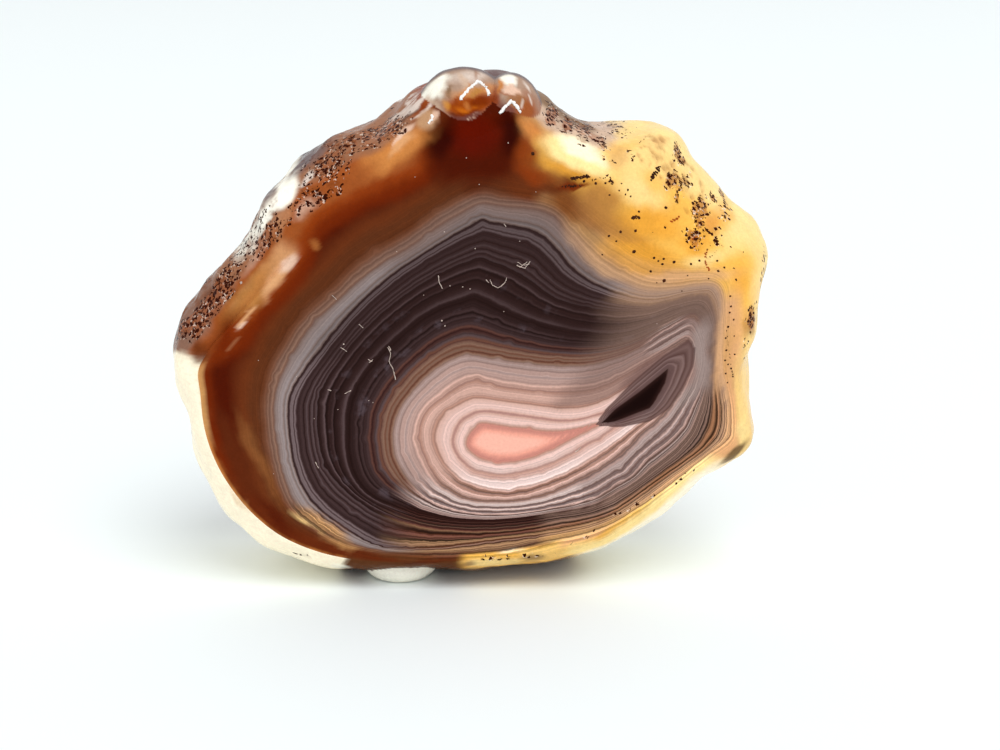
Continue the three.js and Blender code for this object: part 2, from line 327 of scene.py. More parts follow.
# %% Outlines of growth, in millimetres on the front face
GROWTH_OUTLINES = [
    (6.3, [
        (-18.8, 16.6), (-18.8, 19.7), (-18.2, 21.9), (-16.9, 24.4), (-15.1, 27.1), (-12.6, 29.5),
        (-10.2, 31.7), (-7.8, 33.4), (-5.4, 34.8), (-3.1, 36.5), (0.2, 38.5), (1.4, 38.9), (3.0, 38.7),
        (6.8, 38.3), (8.2, 37.7), (9.6, 36.1), (12.5, 33.1), (14.6, 31.8), (16.8, 30.9), (19.2, 30.8),
        (23.1, 31.2), (23.8, 30.8), (24.1, 30.0), (24.2, 26.6), (24.3, 22.6), (25.0, 19.9), (25.3, 16.6),
        (24.9, 15.6), (23.4, 14.4), (20.6, 12.1), (16.7, 9.0), (12.8, 6.7), (8.0, 5.5), (3.0, 4.4),
        (-2.9, 4.0), (-8.8, 4.3), (-12.2, 5.2), (-14.6, 6.7), (-16.8, 8.7), (-18.0, 11.6),
    ]),
    (8.1, [
        (-17.3, 16.6), (-17.2, 19.7), (-16.2, 21.7), (-13.8, 24.9), (-11.0, 28.3), (-7.1, 31.9),
        (-2.8, 34.8), (0.7, 36.8), (1.4, 37.2), (2.2, 36.9), (4.9, 36.4), (7.3, 35.4), (10.1, 32.2),
        (13.2, 30.5), (17.3, 29.5), (21.5, 30.3), (22.9, 30.3), (23.4, 29.8), (23.8, 28.1), (24.0, 22.6),
        (24.8, 18.5), (24.6, 16.1), (24.0, 15.2), (22.5, 14.0), (18.6, 11.0), (13.8, 7.6), (8.9, 6.2),
        (2.1, 5.3), (-3.8, 4.5), (-8.8, 4.7), (-12.6, 7.0), (-15.1, 9.2), (-16.6, 12.1),
    ]),
    (11.3, [
        (-14.4, 16.6), (-14.1, 20.2), (-11.8, 24.1), (-8.9, 27.4), (-5.0, 30.5), (-1.7, 32.4), (0.4, 33.2),
        (1.1, 33.4), (1.9, 33.1), (4.9, 31.8), (8.3, 29.5), (11.6, 28.6), (16.4, 28.3), (20.1, 29.3),
        (22.1, 29.7), (22.9, 29.2), (23.4, 28.0), (23.7, 25.1), (23.6, 20.7), (23.7, 17.1), (22.4, 14.9),
        (21.0, 13.7), (18.2, 11.6), (13.6, 8.4), (8.4, 7.2), (3.1, 6.3), (-3.8, 6.6), (-8.2, 8.0),
        (-11.6, 10.3), (-13.7, 13.1),
    ]),
    (13.8, [
        (-11.8, 16.1), (-11.3, 19.9), (-9.4, 23.1), (-6.5, 26.1), (-3.4, 28.5), (-0.3, 29.7), (0.5, 29.9),
        (1.4, 29.6), (4.9, 27.9), (9.7, 26.5), (14.5, 26.2), (18.3, 27.4), (21.5, 28.6), (22.2, 28.3),
        (22.9, 27.3), (23.4, 25.1), (23.2, 21.7), (22.5, 17.9), (21.4, 15.4), (17.6, 11.9), (12.8, 8.9),
        (8.4, 8.0), (3.1, 7.3), (-2.3, 7.4), (-6.9, 8.6), (-10.2, 10.4), (-11.5, 12.8),
    ]),
    (18.2, [
        (-7.6, 15.8), (-7.0, 18.5), (-5.4, 20.9), (-2.7, 23.4), (-0.4, 24.4), (0.4, 24.4), (4.0, 23.8),
        (8.8, 23.3), (12.6, 23.6), (16.0, 24.8), (19.4, 27.0), (21.3, 28.0), (22.0, 27.5), (22.6, 25.6),
        (22.9, 23.6), (22.5, 21.0), (21.6, 18.8), (20.7, 16.8), (19.3, 15.3), (17.4, 13.7), (15.8, 11.9),
        (14.2, 10.9), (12.3, 9.7), (9.6, 8.9), (6.9, 8.4), (3.1, 8.0), (-0.8, 8.3), (-3.4, 9.2),
        (-5.8, 11.1), (-7.1, 13.1),
    ]),
    (20.8, [
        (-4.8, 15.8), (-4.3, 18.2), (-2.7, 19.8), (-0.2, 21.5), (0.7, 21.6), (4.0, 20.9), (8.8, 20.5),
        (12.7, 21.0), (16.5, 23.1), (19.8, 25.1), (20.9, 25.7), (21.4, 25.2), (21.5, 23.6), (20.6, 21.1),
        (19.0, 18.6), (16.6, 16.2), (13.9, 13.6), (10.8, 11.7), (7.4, 10.1), (3.5, 9.4), (-0.7, 9.9),
        (-3.2, 11.8),
    ]),
    (22.0, [
        (-3.8, 15.6), (-3.1, 18.2), (-1.3, 19.5), (0.4, 20.3), (1.6, 20.2), (5.0, 19.7), (9.8, 19.3),
        (12.7, 19.8), (16.5, 22.1), (19.5, 24.1), (20.4, 24.5), (20.9, 23.9), (20.8, 23.0), (19.9, 20.7),
        (18.0, 18.2), (16.1, 16.6), (12.9, 14.0), (9.2, 11.8), (4.5, 10.2), (0.6, 10.6), (-2.2, 12.4),
    ]),
    (24.1, [
        (-1.8, 15.3), (-1.0, 17.7), (0.6, 18.7), (1.6, 18.8), (5.0, 18.4), (9.8, 17.8), (12.7, 18.5),
        (15.1, 20.1), (17.9, 22.2), (19.7, 23.5), (20.3, 22.8), (19.2, 20.5), (17.5, 18.9), (14.6, 16.9),
        (11.8, 15.1), (8.9, 13.4), (5.5, 12.2), (2.7, 11.9), (-0.4, 12.9),
    ]),
    (25.9, [
        (-0.2, 15.1), (0.2, 16.4), (1.4, 17.3), (2.2, 17.2), (5.0, 16.8), (8.8, 16.5), (12.7, 17.3),
        (10.3, 16.0), (6.9, 14.2), (3.5, 13.4), (1.1, 13.9),
    ]),
]
RIM_GROWTH, CENTRE_GROWTH = -2.0, 27.4
CENTRE_REACH = 1.6  # mm inside the last outline
# The last hollow in the stone was a sharp wedge, so its outline keeps its corners.
CORE_OUTLINE = [
    (12.6, 17.1), (13.7, 18.4), (16.5, 20.5), (19.2, 22.8), (18.8, 21.2), (17.6, 18.9), (16.1, 18.3),
    (14.2, 17.5),
]
HALO_OUTLINE = [
    (12.4, 17.2), (13.3, 18.8), (15.8, 21.5), (18.6, 24.0), (21.2, 25.9), (21.8, 24.8), (21.6, 22.9),
    (20.7, 20.9), (19.4, 18.8), (17.6, 17.5), (14.6, 16.9),
]


# %% Distances and the growth value
def distance_to(points, line):
    """The distance from each point to a closed line of segments."""
    best = np.full(len(points), 1e9)
    for start, end in zip(line, np.roll(line, -1, axis=0)):
        along = end - start
        t = np.clip((points - start) @ along / max(along @ along, 1e-12), 0, 1)
        best = np.minimum(best, ((points - start - t[:, None] * along) ** 2).sum(axis=1))
    return np.sqrt(best)


def is_inside(points, line):
    """Which points a closed line goes round."""
    inside = np.zeros(len(points), bool)
    for (x0, z0), (x1, z1) in zip(line, np.roll(line, -1, axis=0)):
        crosses = (z0 > points[:, 1]) != (z1 > points[:, 1])
        inside ^= crosses & (points[:, 0] < (x1 - x0) * (points[:, 1] - z0) / ((z1 - z0) or 1e-12) + x0)
    return inside


def growth_at(flat):
    """The growth at points of the slab seen square on."""
    lines = [(RIM_GROWTH, closed_curve(BELLY_OUTLINE, 4))]
    lines += [(value, closed_curve(outline, 5)) for value, outline in GROWTH_OUTLINES]
    growth = np.full(len(flat), RIM_GROWTH)
    left = np.flatnonzero(is_inside(flat, lines[0][1]))
    outer_distance = distance_to(flat[left], lines[0][1])
    for (low, _), (high, line) in zip(lines, lines[1:]):
        inner_distance = distance_to(flat[left], line)
        growth[left] = low + (high - low) * outer_distance / (outer_distance + inner_distance)
        deeper = is_inside(flat[left], line)
        left, outer_distance = left[deeper], inner_distance[deeper]
    growth[left] = high + (CENTRE_GROWTH - high) * np.clip(outer_distance / CENTRE_REACH, 0, 1)
    return growth


# %% Store growth and the place in the dark core and its halo
# In the back half the bands lean a little, as they do in a nodule that isn't a perfect ball.
LEAN = np.array([0.22, -0.14])
LEAN_FROM = 1.0
flat = points[:, ::2] + np.clip(points[:, 1:2] - LEAN_FROM, 0, None) * LEAN
growth = growth_at(flat)
core_line, halo_line = np.array(CORE_OUTLINE), np.array(HALO_OUTLINE)
to_core, to_halo = distance_to(flat, core_line), distance_to(flat, halo_line)
core = np.where(is_inside(flat, core_line), -to_core, to_core / (to_core + to_halo).clip(1e-6))
core = np.where(is_inside(flat, halo_line), core, 1 + to_halo)
print("Growth runs from", round(growth.min(), 1), "to", round(growth.max(), 1), "mm")

# %% [markdown]
# ## Stains
#
# Outside the bands the colour is iron that soaked in later: cream where there is none, amber and rust where
# there is. It is painted in three steps, as real stains build up. A profile gives the plain colour by growth.
# Arcs recolour a stretch of directions, between two depths from the outline. Clouds are single stains. A few
# arcs and clouds are painted shade along the outline, under the rim and under a lump, and a few thin ones are
# painted highlights. Most go through face and skin alike, but some stop at the sharp edge of the face, so
# each has its own paint. All edges are blurred and bent by noise.

# %% A palette in plain words
PALETTE = {
    "cream": (255, 251, 236), "ivory": (255, 243, 216), "lemon": (252, 222, 152), "straw": (250, 212, 140),
    "wheat": (240, 198, 122), "amber": (243, 184, 84), "gold": (232, 160, 56), "honey": (206, 132, 68),
    "ochre": (170, 112, 52), "bronze": (214, 160, 78), "orange": (205, 108, 22), "tan": (206, 154, 96),
    "apricot": (226, 168, 118), "peach": (214, 164, 120), "sienna": (156, 80, 36), "rust": (140, 56, 14),
    "russet": (112, 36, 4), "mahogany": (76, 18, 2), "garnet": (48, 4, 0), "umber": (92, 38, 14),
    "cinnamon": (104, 48, 20), "olive": (92, 46, 22), "clay": (112, 70, 50), "lilac": (124, 98, 88),
    "bark": (98, 56, 30), "sepia": (126, 96, 68), "lump_shadow": (88, 60, 40), "rind": (154, 106, 78),
    "dark rind": (140, 102, 84), "rose": (234, 196, 172), "smoke": (104, 90, 92), "greige": (206, 176, 152),
    "pearl": (226, 210, 198), "glass": (172, 142, 122), "amber glass": (152, 66, 14), "lip": (112, 62, 54),
    "dove": (154, 134, 128), "maroon": (98, 68, 66), "fawn": (190, 148, 112), "ember": (102, 12, 0),
    "night": (44, 26, 24), "cocoa": (112, 84, 74), "biscuit": (172, 134, 107), "taupe": (146, 114, 98),
    "mushroom": (132, 104, 92), "drift": (130, 102, 96), "soot": (84, 54, 46), "butter": (250, 222, 154),
    "sandstone": (196, 152, 114), "saffron": (226, 176, 96), "toffee": (142, 98, 68),
    "nutmeg": (124, 70, 32), "pecan": (150, 96, 52), "caramel": (184, 126, 62), "khaki": (166, 126, 86),
    "shade": (122, 94, 86),
}


def linear(colour):
    """A palette name or an sRGB triple as the linear values that shaders use."""
    s = np.array(PALETTE[colour] if isinstance(colour, str) else colour, float) / 255
    return np.where(s <= 0.04045, s / 12.92, ((s + 0.055) / 1.055) ** 2.4)


# %% Where the stains are
# The plain profile: growth in mm, and the colour there.
PROFILE = [(1.2, "mahogany"), (2.6, "mahogany"), (3.3, "umber"), (3.9, "cinnamon"), (4.5, "olive"),
           (5.1, "olive"), (5.7, "clay"), (6.3, "lilac")]
# Arcs: which paint, the colour, from and to in degrees, the depth that is meant, from and to in mm, both
# blurs, and the strength. Depths: "inset" from the outline, "outer inset" that also stops where the bands
# start, "inward" from the face's edge, "growth", and "across" the rim, from 0 at the face through 1 at the
# belly to 2 at the back.
ARCS = [
    ("face", "russet", 179, 254, "inward", -1, 1.3, 12, 1.0, 0.85),
    ("face", "umber", 206, 252, "inward", -1, 1.8, 8, 1.0, 0.7),
    ("face", "honey", 183, 208, "inward", -1, 0.25, 8, 0.4, 0.8),
    ("face", "honey", 183, 240, "inward", -1, 0.02, 6, 0.2, 0.8),
    ("face", "tan", 181, 198, "inward", -1, 0.5, 6, 0.5, 0.8),
    ("skin", "bark", 236, 268, "inset", -1, 14, 5, 1, 1),
    ("skin", "sienna", 62, 182, "inset", -1, 14, 8, 1, 1),
    ("both", "russet", 100, 180, "outer inset", -1, 6.6, 8, 1.4, 1),
    ("both", "rust", 100, 180, "outer inset", -1, 5.4, 8, 1.2, 1),
    ("both", "mahogany", 76, 99, "outer inset", 1.2, 9, 12, 1.0, 1),
    ("both", "sienna", 104, 181, "outer inset", -1, 4.5, 8, 0.8, 1),
    ("both", "honey", 101, 117, "inset", 1.9, 3.6, 6, 1.2, 0.9),
    ("both", "apricot", 147, 168, "inset", 2.9, 4.8, 6, 1.0, 0.75),
    ("both", "rind", 102, 180, "inset", -1, 2.0, 5, 0.9, 1),
    ("both", "dark rind", 164, 182, "inset", -1, 2.3, 5, 0.8, 1),
    ("both", "gold", 2, 56, "inset", 3.0, 11.4, 10, 2.2, 0.9),
    ("both", "amber", 0, 57, "inset", 1.0, 7.4, 8, 2.2, 0.95),
    ("both", "straw", -2, 62, "inset", -1, 1.8, 6, 1.6, 1),
    ("both", "peach", -14, 14, "inset", 3.2, 7.0, 5, 1.2, 1),
    ("both", "butter", -4, 56, "inset", -1, 0.5, 4, 0.8, 0.8),
    ("both", "cinnamon", 60, 78, "inset", 4.6, 8.4, 6, 1.6, 0.9),
    ("both", "ochre", 62, 76, "inset", 3.4, 5.2, 5, 1.2, 0.9),
    ("both", "tan", 58, 77, "inset", 1.0, 3.6, 5, 1.0, 0.9),
    ("both", "khaki", 40, 66, "growth", 4.2, 7.5, 8, 1.2, 0.9),
    ("both", "tan", 16, 42, "growth", 4.4, 7.5, 8, 1.0, 0.5),
    ("both", "greige", 55, 77, "inset", -1, 1.5, 3, 0.6, 1),
    ("both", "bark", 239, 269, "outer inset", -1, 4.3, 5, 0.8, 1),
    # The sepia arc below is painted shade where the lower rim faces down.
    ("both", "sepia", 266, 296, "inset", -1, 2.2, 5, 0.6, 1),
    ("both", "amber", 268, 300, "inset", 2.2, 4.8, 5, 0.5, 0.9),
    ("both", "lemon", 270, 284, "inset", 2.5, 3.7, 4, 0.5, 0.8),
    ("both", "wheat", 284, 300, "inset", 2.6, 4.6, 4, 0.5, 0.8),
    ("both", "apricot", 296, 339, "inset", 3.9, 5.6, 5, 0.9, 1),
    ("both", "amber", 296, 338, "inset", 3.3, 4.0, 5, 0.6, 0.8),
    ("both", "lemon", 296, 338, "inset", 2.2, 3.4, 5, 0.7, 1),
    ("both", "ivory", 297, 330, "inset", -1, 2.3, 5, 0.8, 1),
    ("both", "ivory", 326, 338, "inset", -1, 2.2, 8, 0.8, 1),
    ("both", "apricot", 336, 362, "inset", 1.9, 3.8, 4, 0.8, 1),
    ("both", "wheat", 335, 361, "inset", -1, 2.0, 8, 0.7, 0.8),
    ("skin", "ivory", 181, 240, "across", -1, 3, 1.2, 0.1, 1),
    # The next five arcs, dark grey and sepia across the rim, are painted shade along the rim's outline, where
    # the skin turns away.
    ("skin", "smoke", 56, 180, "across", 1.3, 2.4, 10, 0.6, 0.9),
    ("skin", "smoke", 78, 92, "across", 0.85, 2.2, 4, 0.16, 0.9),
    ("skin", "smoke", 129, 144, "across", 0.9, 1.5, 6, 0.2, 1),
    ("skin", "smoke", 98, 110, "across", 1.12, 1.6, 6, 0.2, 0.7),
    ("skin", "sepia", 60, 76, "across", 0.9, 1.4, 3, 0.12, 0.9),
]
# Clouds: colour, centre x and z, half-sizes, turn in degrees, strength, and the edge from 0 (crisp) to 1
# (soft).
CLOUDS = [
    ("mahogany", 1.1, 43.6, 5.0, 3.6, 0, 1, 0.9), ("ember", 0.4, 45.2, 3.0, 2.0, 0, 0.6, 1),
    ("garnet", -2.6, 45.0, 1.4, 2.1, -12, 0.9, 1), ("garnet", 4.0, 45.6, 1.2, 2.4, 0, 0.9, 1),
    ("honey", -6.9, 43.5, 4.0, 1.05, 33, 0.95, 1), ("apricot", -6.0, 44.3, 1.8, 0.5, 40, 0.8, 1),
    # The thin rose streak at x -5.8 is a painted highlight.
    ("rose", -5.8, 45.1, 1.6, 0.25, 40, 0.85, 0.7), ("sienna", -10.4, 41.2, 2.4, 1.0, 40, 0.7, 1),
    ("rust", 5.6, 44.0, 1.2, 2.6, -12, 0.8, 1), ("honey", 6.4, 45.0, 2.6, 0.8, -55, 0.95, 1),
    ("bronze", 7.4, 43.4, 2.0, 0.9, -50, 0.9, 1), ("rust", 6.6, 41.2, 2.2, 0.9, -20, 0.8, 1),
    ("gold", 9.4, 42.0, 3.2, 0.8, -20, 0.8, 1), ("lemon", 10.3, 43.1, 3.7, 1.25, -25, 1, 0.6),
    ("ivory", 10.9, 43.5, 2.8, 0.7, -27, 0.8, 0.7), ("caramel", 12.6, 39.4, 2.6, 1.6, -30, 0.95, 1),
    ("pecan", 11.4, 37.9, 3.4, 1.4, -42, 0.9, 1), ("nutmeg", 8.9, 39.2, 2.4, 1.5, -50, 1, 1),
    ("caramel", 14.2, 36.4, 3.6, 1.3, -40, 0.8, 1), ("russet", 9.6, 40.5, 1.7, 0.35, 6, 0.95, 0.6),
    ("umber", 7.4, 40.2, 1.6, 0.5, 0, 0.7, 1), ("straw", 16.8, 42.0, 4.5, 2.2, -8, 0.8, 1),
    ("lemon", 16.4, 39.4, 2.8, 1.3, -30, 0.7, 1), ("amber", 17.6, 40.8, 1.4, 0.7, -20, 0.6, 1),
    ("amber", 14.8, 43.6, 2.2, 0.6, 4, 0.5, 1), ("tan", 14.1, 42.9, 1.0, 1.0, 0, 0.5, 1),
    ("tan", 18.4, 43.9, 0.9, 0.5, 0, 0.6, 1), ("gold", 17.4, 36.8, 3.2, 1.6, -10, 0.9, 1),
    ("gold", 16.6, 34.2, 3.6, 0.9, -16, 0.8, 1), ("butter", 22.6, 33.4, 2.2, 0.7, 4, 0.6, 1),
    ("gold", 25.8, 31.3, 0.9, 1.6, 0, 0.6, 1), ("gold", 21.2, 34.6, 1.4, 0.7, -20, 0.7, 1),
    ("lemon", 25.4, 34.8, 1.8, 1.4, 10, 0.6, 1), ("honey", 23.4, 36.5, 0.9, 1.1, 10, 0.6, 1),
    ("gold", 24.6, 36.8, 1.2, 1.2, 0, 0.5, 1), ("gold", 21.8, 35.2, 1.6, 0.8, 0, 0.7, 1),
    ("straw", 21.6, 39.8, 1.2, 1.2, 0, 0.7, 1), ("peach", 19.8, 31.7, 5.8, 0.7, 3, 0.8, 1),
    ("apricot", 25.4, 26.2, 1.2, 4.6, 0, 0.8, 1), ("tan", 24.6, 24.4, 0.8, 4.4, 0, 0.7, 1),
    ("ochre", 26.6, 27.3, 0.5, 1.4, 0, 0.6, 1), ("straw", 26.9, 19.4, 0.8, 5.0, 0, 0.8, 0.6),
    # The dark brown streak at x 25.9 is a painted shadow under a pale lump of the rim.
    ("lemon", 26.4, 16.2, 0.9, 1.2, 0, 0.7, 1), ("lump_shadow", 25.9, 14.1, 1.9, 0.5, 41, 0.85, 0.6),
    ("lemon", 10.8, 4.8, 2.0, 0.45, 14, 0.7, 1), ("pecan", 27.2, 27.0, 0.5, 0.9, 0, 0.6, 1),
    ("ochre", -20.9, 29.6, 4.8, 1.1, 54, 0.85, 1), ("russet", -22.8, 26.0, 2.8, 1.5, 50, 1, 1),
    ("cinnamon", -25.7, 24.2, 1.2, 0.8, 60, 0.9, 0.8), ("honey", -20.4, 30.2, 3.2, 0.5, 54, 0.4, 1),
    # The apricot streak at x -18.1 and the thin apricot and rose streaks at x -17 to -23 along the ledge are
    # painted highlights.
    ("rust", -21.6, 27.2, 2.0, 0.6, 52, 0.6, 1), ("apricot", -18.1, 31.8, 2.7, 0.55, 56, 0.9, 0.9),
    ("rose", -17.2, 33.0, 1.1, 0.5, 50, 0.95, 0.7), ("apricot", -21.0, 28.0, 1.4, 0.2, 54, 0.9, 0.7),
    ("rose", -21.4, 27.2, 0.6, 0.2, 50, 0.9, 0.7), ("apricot", -22.6, 25.0, 1.6, 0.12, 58, 0.2, 0.8),
    ("honey", -14.6, 34.8, 0.6, 0.5, 50, 0.4, 1), ("cream", -17.2, 39.6, 2.1, 1.1, 56, 1, 0.5),
    ("cream", -19.5, 36.9, 2.6, 0.6, 60, 1, 0.6), ("cream", -21.4, 34.4, 1.9, 0.35, 56, 0.9, 0.7),
    ("sandstone", -17.4, 37.0, 2.2, 0.6, 56, 0.4, 0.8), ("rose", -20.2, 33.6, 2.4, 0.6, 54, 0.3, 0.9),
    # The dark grey cloud at x -15.2 is painted shade along the upper left outline.
    ("cream", -19.9, 35.8, 2.2, 0.5, 58, 0.8, 0.7), ("smoke", -15.2, 42.4, 3.0, 0.7, 36, 0.8, 1),
    ("dark rind", -26.2, 26.8, 3.0, 1.3, 58, 0.9, 0.9), ("rose", -15.0, 38.4, 1.6, 0.6, 48, 0.5, 1),
    # The thin pearl streaks at x -4 to -7, and the one at x -14.9 below, are painted highlights on the skin.
    ("pearl", -6.6, 46.4, 2.6, 0.22, 38, 0.7, 0.7), ("pearl", -4.8, 47.6, 1.9, 0.25, 44, 0.9, 0.6),
    ("pearl", -4.0, 47.2, 1.2, 0.16, 40, 0.8, 0.6), ("bark", -5.6, 46.6, 1.6, 0.14, 42, 0.8, 0.6),
    ("pearl", -6.0, 47.2, 1.8, 0.12, 40, 0.8, 0.6), ("sandstone", -3.8, 46.6, 0.9, 0.7, 40, 0.9, 0.8),
    # The small rose stroke at x -3.3 is a painted highlight.
    ("rose", -3.3, 46.9, 0.2, 0.6, -30, 0.8, 0.6), ("cinnamon", -19.8, 12.0, 5.2, 0.6, -66, 0.5, 1),
    ("pecan", -20.4, 13.6, 5.0, 0.7, -68, 0.45, 1), ("pearl", -14.9, 40.9, 0.9, 0.25, 40, 0.9, 0.6),
    ("umber", -22.8, 14.4, 5.0, 0.9, -72, 0.8, 1), ("mahogany", -19.0, 7.9, 2.8, 0.6, -46, 0.7, 1),
    ("tan", -22.3, 9.6, 1.8, 0.3, -56, 0.35, 1), ("straw", -15.9, 7.3, 2.0, 0.35, -33, 0.6, 1),
    ("wheat", -13.2, 5.9, 2.6, 0.4, -26, 0.6, 1), ("tan", -10.6, 4.8, 3.4, 0.5, -12, 0.8, 1),
    ("bark", -6.0, 3.8, 4.0, 0.7, -3, 0.9, 1), ("umber", -4.0, 3.2, 3.0, 0.3, 0, 0.8, 1),
    ("cream", -12.9, 2.2, 0.9, 0.7, 0, 0.7, 0.8), ("sepia", 0.2, 2.6, 0.8, 0.5, 0, 0.7, 1),
    ("sepia", 6.4, 3.4, 1.2, 0.4, 10, 0.7, 1), ("lemon", 2.6, 3.2, 1.0, 0.3, 0, 0.8, 0.9),
    ("ivory", 4.0, 4.2, 1.2, 0.25, 4, 0.8, 0.9),
]
KNOB_CLOUDS = [
    ("pearl", 0.4, 50.3, 2.0, 0.5, 0, 0.7, 1), ("cream", -2.9, 49.2, 1.9, 0.75, 42, 1, 0.5),
    ("taupe", -3.2, 50.7, 1.7, 0.35, 38, 0.8, 0.8), ("greige", -0.4, 50.0, 0.3, 0.9, 20, 0.8, 0.8),
    ("rind", 0.9, 50.6, 0.2, 0.7, -30, 0.7, 0.8), ("honey", 0.6, 48.9, 2.4, 0.6, 0, 0.8, 0.8),
    ("amber glass", 0.1, 47.9, 2.7, 1.15, 0, 1, 0.5), ("gold", -2.1, 48.1, 0.4, 0.5, 20, 0.5, 1),
    ("orange", -0.4, 47.6, 0.9, 0.3, -20, 0.7, 0.9), ("honey", 0.2, 48.0, 0.3, 0.5, 30, 0.5, 0.9),
    ("orange", 1.0, 47.8, 0.4, 0.25, 0, 0.6, 0.9), ("russet", 1.4, 48.2, 1.1, 0.6, 0, 0.8, 0.8),
    ("umber", -1.2, 47.0, 0.9, 0.25, -30, 0.8, 0.8), ("russet", 0.1, 47.1, 2.3, 0.3, 0, 0.7, 0.7),
    ("sepia", -1.5, 49.3, 0.18, 0.6, -30, 0.8, 0.7), ("rust", -0.9, 48.8, 0.5, 0.25, 30, 0.8, 0.7),
    ("honey", -0.2, 49.3, 0.7, 0.2, 40, 0.7, 0.8), ("caramel", 1.0, 49.1, 0.7, 0.3, 0, 0.9, 0.7),
    # The thin rose lines along the knob's lower lip are painted highlights.
    ("lip", -0.6, 46.7, 2.9, 0.42, 0, 0.95, 0.5), ("rose", -0.8, 46.45, 1.7, 0.06, 4, 0.6, 0.6),
    ("rose", -2.2, 46.7, 0.7, 0.07, -40, 0.7, 0.6), ("rose", 0.6, 46.75, 0.8, 0.06, 20, 0.5, 0.6),
    ("sienna", 5.6, 47.6, 1.6, 1.5, 0, 0.95, 0.9), ("rust", 2.7, 48.2, 0.7, 0.9, 0, 0.9, 0.8),
    ("honey", 3.1, 49.4, 0.3, 0.7, -10, 0.9, 0.6), ("lip", 3.9, 47.7, 0.9, 0.6, -20, 0.9, 0.7),
    ("pecan", 4.7, 48.5, 0.8, 0.5, 0, 0.7, 0.8), ("cream", 3.8, 49.9, 0.9, 0.6, -10, 1, 0.45),
    # The rose patch at x 4.2 and the thin pearl dashes at x 5 to 6.2 are painted highlights.
    ("rose", 4.2, 49.1, 0.9, 0.3, 0, 0.9, 0.5), ("sienna", 3.6, 48.85, 0.8, 0.1, -6, 0.6, 0.7),
    ("pearl", 5.9, 49.5, 0.18, 0.7, 42, 0.9, 0.6), ("pearl", 6.2, 48.6, 0.15, 0.45, 30, 0.8, 0.6),
    ("pearl", 5.1, 48.3, 0.12, 0.3, 10, 0.7, 0.6), ("greige", -3.6, 47.6, 0.9, 1.0, 0, 0.8, 0.9),
    ("bark", -3.0, 47.2, 0.2, 0.6, 20, 0.7, 0.7), ("bark", -4.3, 47.9, 0.15, 0.7, -40, 0.6, 0.7),
    ("cream", -4.0, 48.6, 0.9, 0.25, 48, 0.9, 0.5),
]


# %% Brushes
EDGE_INWARD, EDGE_OUTWARD = 0.7, 0.4  # how far a cloud's softest edge reaches, as shares of its half-size
BEND_SIZE, FINE_SIZE, SWAY_SIZE = 3.6, 0.9, 4.0  # mm, the blobs of the noise that bends edges
CLOUD_BEND, FINE_CLOUD_BEND = 0.5, 0.16  # mm that it shifts a cloud at most
DEPTH_BEND, FINE_DEPTH_BEND = 0.3, 0.12  # mm that it shifts a depth at most
HUB_SWAY, EYE_SWAY = 1.6, 2.0  # degrees that it shifts an arc, about the hub and about the eye


def soft_step(value, low, high):
    """0 below low, 1 above high, and eased between them."""
    t = np.clip((value - low) / (high - low), 0, 1)
    return t * t * (3 - 2 * t)


def between(value, low, high, blur):
    """1 between two limits, falling to 0 over the blur on either side."""
    half = blur / 2
    return soft_step(value, low - half, low + half) * (1 - soft_step(value, high - half, high + half))


angle = np.arctan2(flat[:, 1] - HUB[1], flat[:, 0] - HUB[0])
from_hub = np.hypot(*(flat - HUB).T)
inner_edge, outer_edge = face_radius(angle), belly_radius(angle)
outward = np.clip((from_hub - inner_edge) / (outer_edge - inner_edge), 0, 1)
bend = np.stack([cloud(points, BEND_SIZE, 3, shift) for shift in (11.0, 37.0)], -1)
fine_bend = np.stack([cloud(points, FINE_SIZE, 2, shift) for shift in (51.0, 67.0)], -1)
bent_place = flat + CLOUD_BEND * bend + FINE_CLOUD_BEND * fine_bend
sway = cloud(points, SWAY_SIZE, 2, 5.0)
bent_direction = np.degrees(angle) + sway * HUB_SWAY
inset = distance_to(flat, closed_curve(BELLY_OUTLINE, 3))
inset = inset + bend[:, 1] * DEPTH_BEND + fine_bend[:, 0] * FINE_DEPTH_BEND
DEPTHS = {
    "growth": growth + bend[:, 0] * DEPTH_BEND,
    "inset": inset,
    "outer inset": inset,
    "inward": inner_edge - from_hub + fine_bend[:, 1] * 0.1,
    "across": np.where(points[:, 1] < belly_depth(angle), outward, 2 - outward),
}


def lay(over, colour, amount):
    """Blends a colour over the paint by an amount for each point."""
    amount = np.clip(amount, 0, 1)[:, None]
    return over * (1 - amount) + linear(colour) * amount


def blob(x, z, half_x, half_z, turn, strength, edge):
    """How much each point is inside a turned ellipse with a soft edge."""
    c, s = math.cos(math.radians(turn)), math.sin(math.radians(turn))
    dx, dz = bent_place[:, 0] - x, bent_place[:, 1] - z
    reach = np.hypot((dx * c + dz * s) / half_x, (-dx * s + dz * c) / half_z)
    return strength * (1 - soft_step(reach, 1 - EDGE_INWARD * edge, 1 + EDGE_OUTWARD * edge))


def arc(start, end, depth, low, high, blur, blur_depth, strength, about=None):
    """How much each point is in a stretch of directions and a stretch of a depth."""
    direction = bent_direction if about is None else about
    off = np.abs((direction - (start + end) / 2 + 180) % 360 - 180)
    half_arc, half_blur = (end - start) / 2, blur / 2
    in_arc = 1 - soft_step(off, half_arc - half_blur, half_arc + half_blur)
    return strength * in_arc * between(DEPTHS[depth], low, high, blur_depth)


def union(amounts):
    """Several amounts as one."""
    clear = np.ones(len(points))
    for amount in amounts:
        clear *= 1 - np.clip(amount, 0, 1)
    return 1 - clear


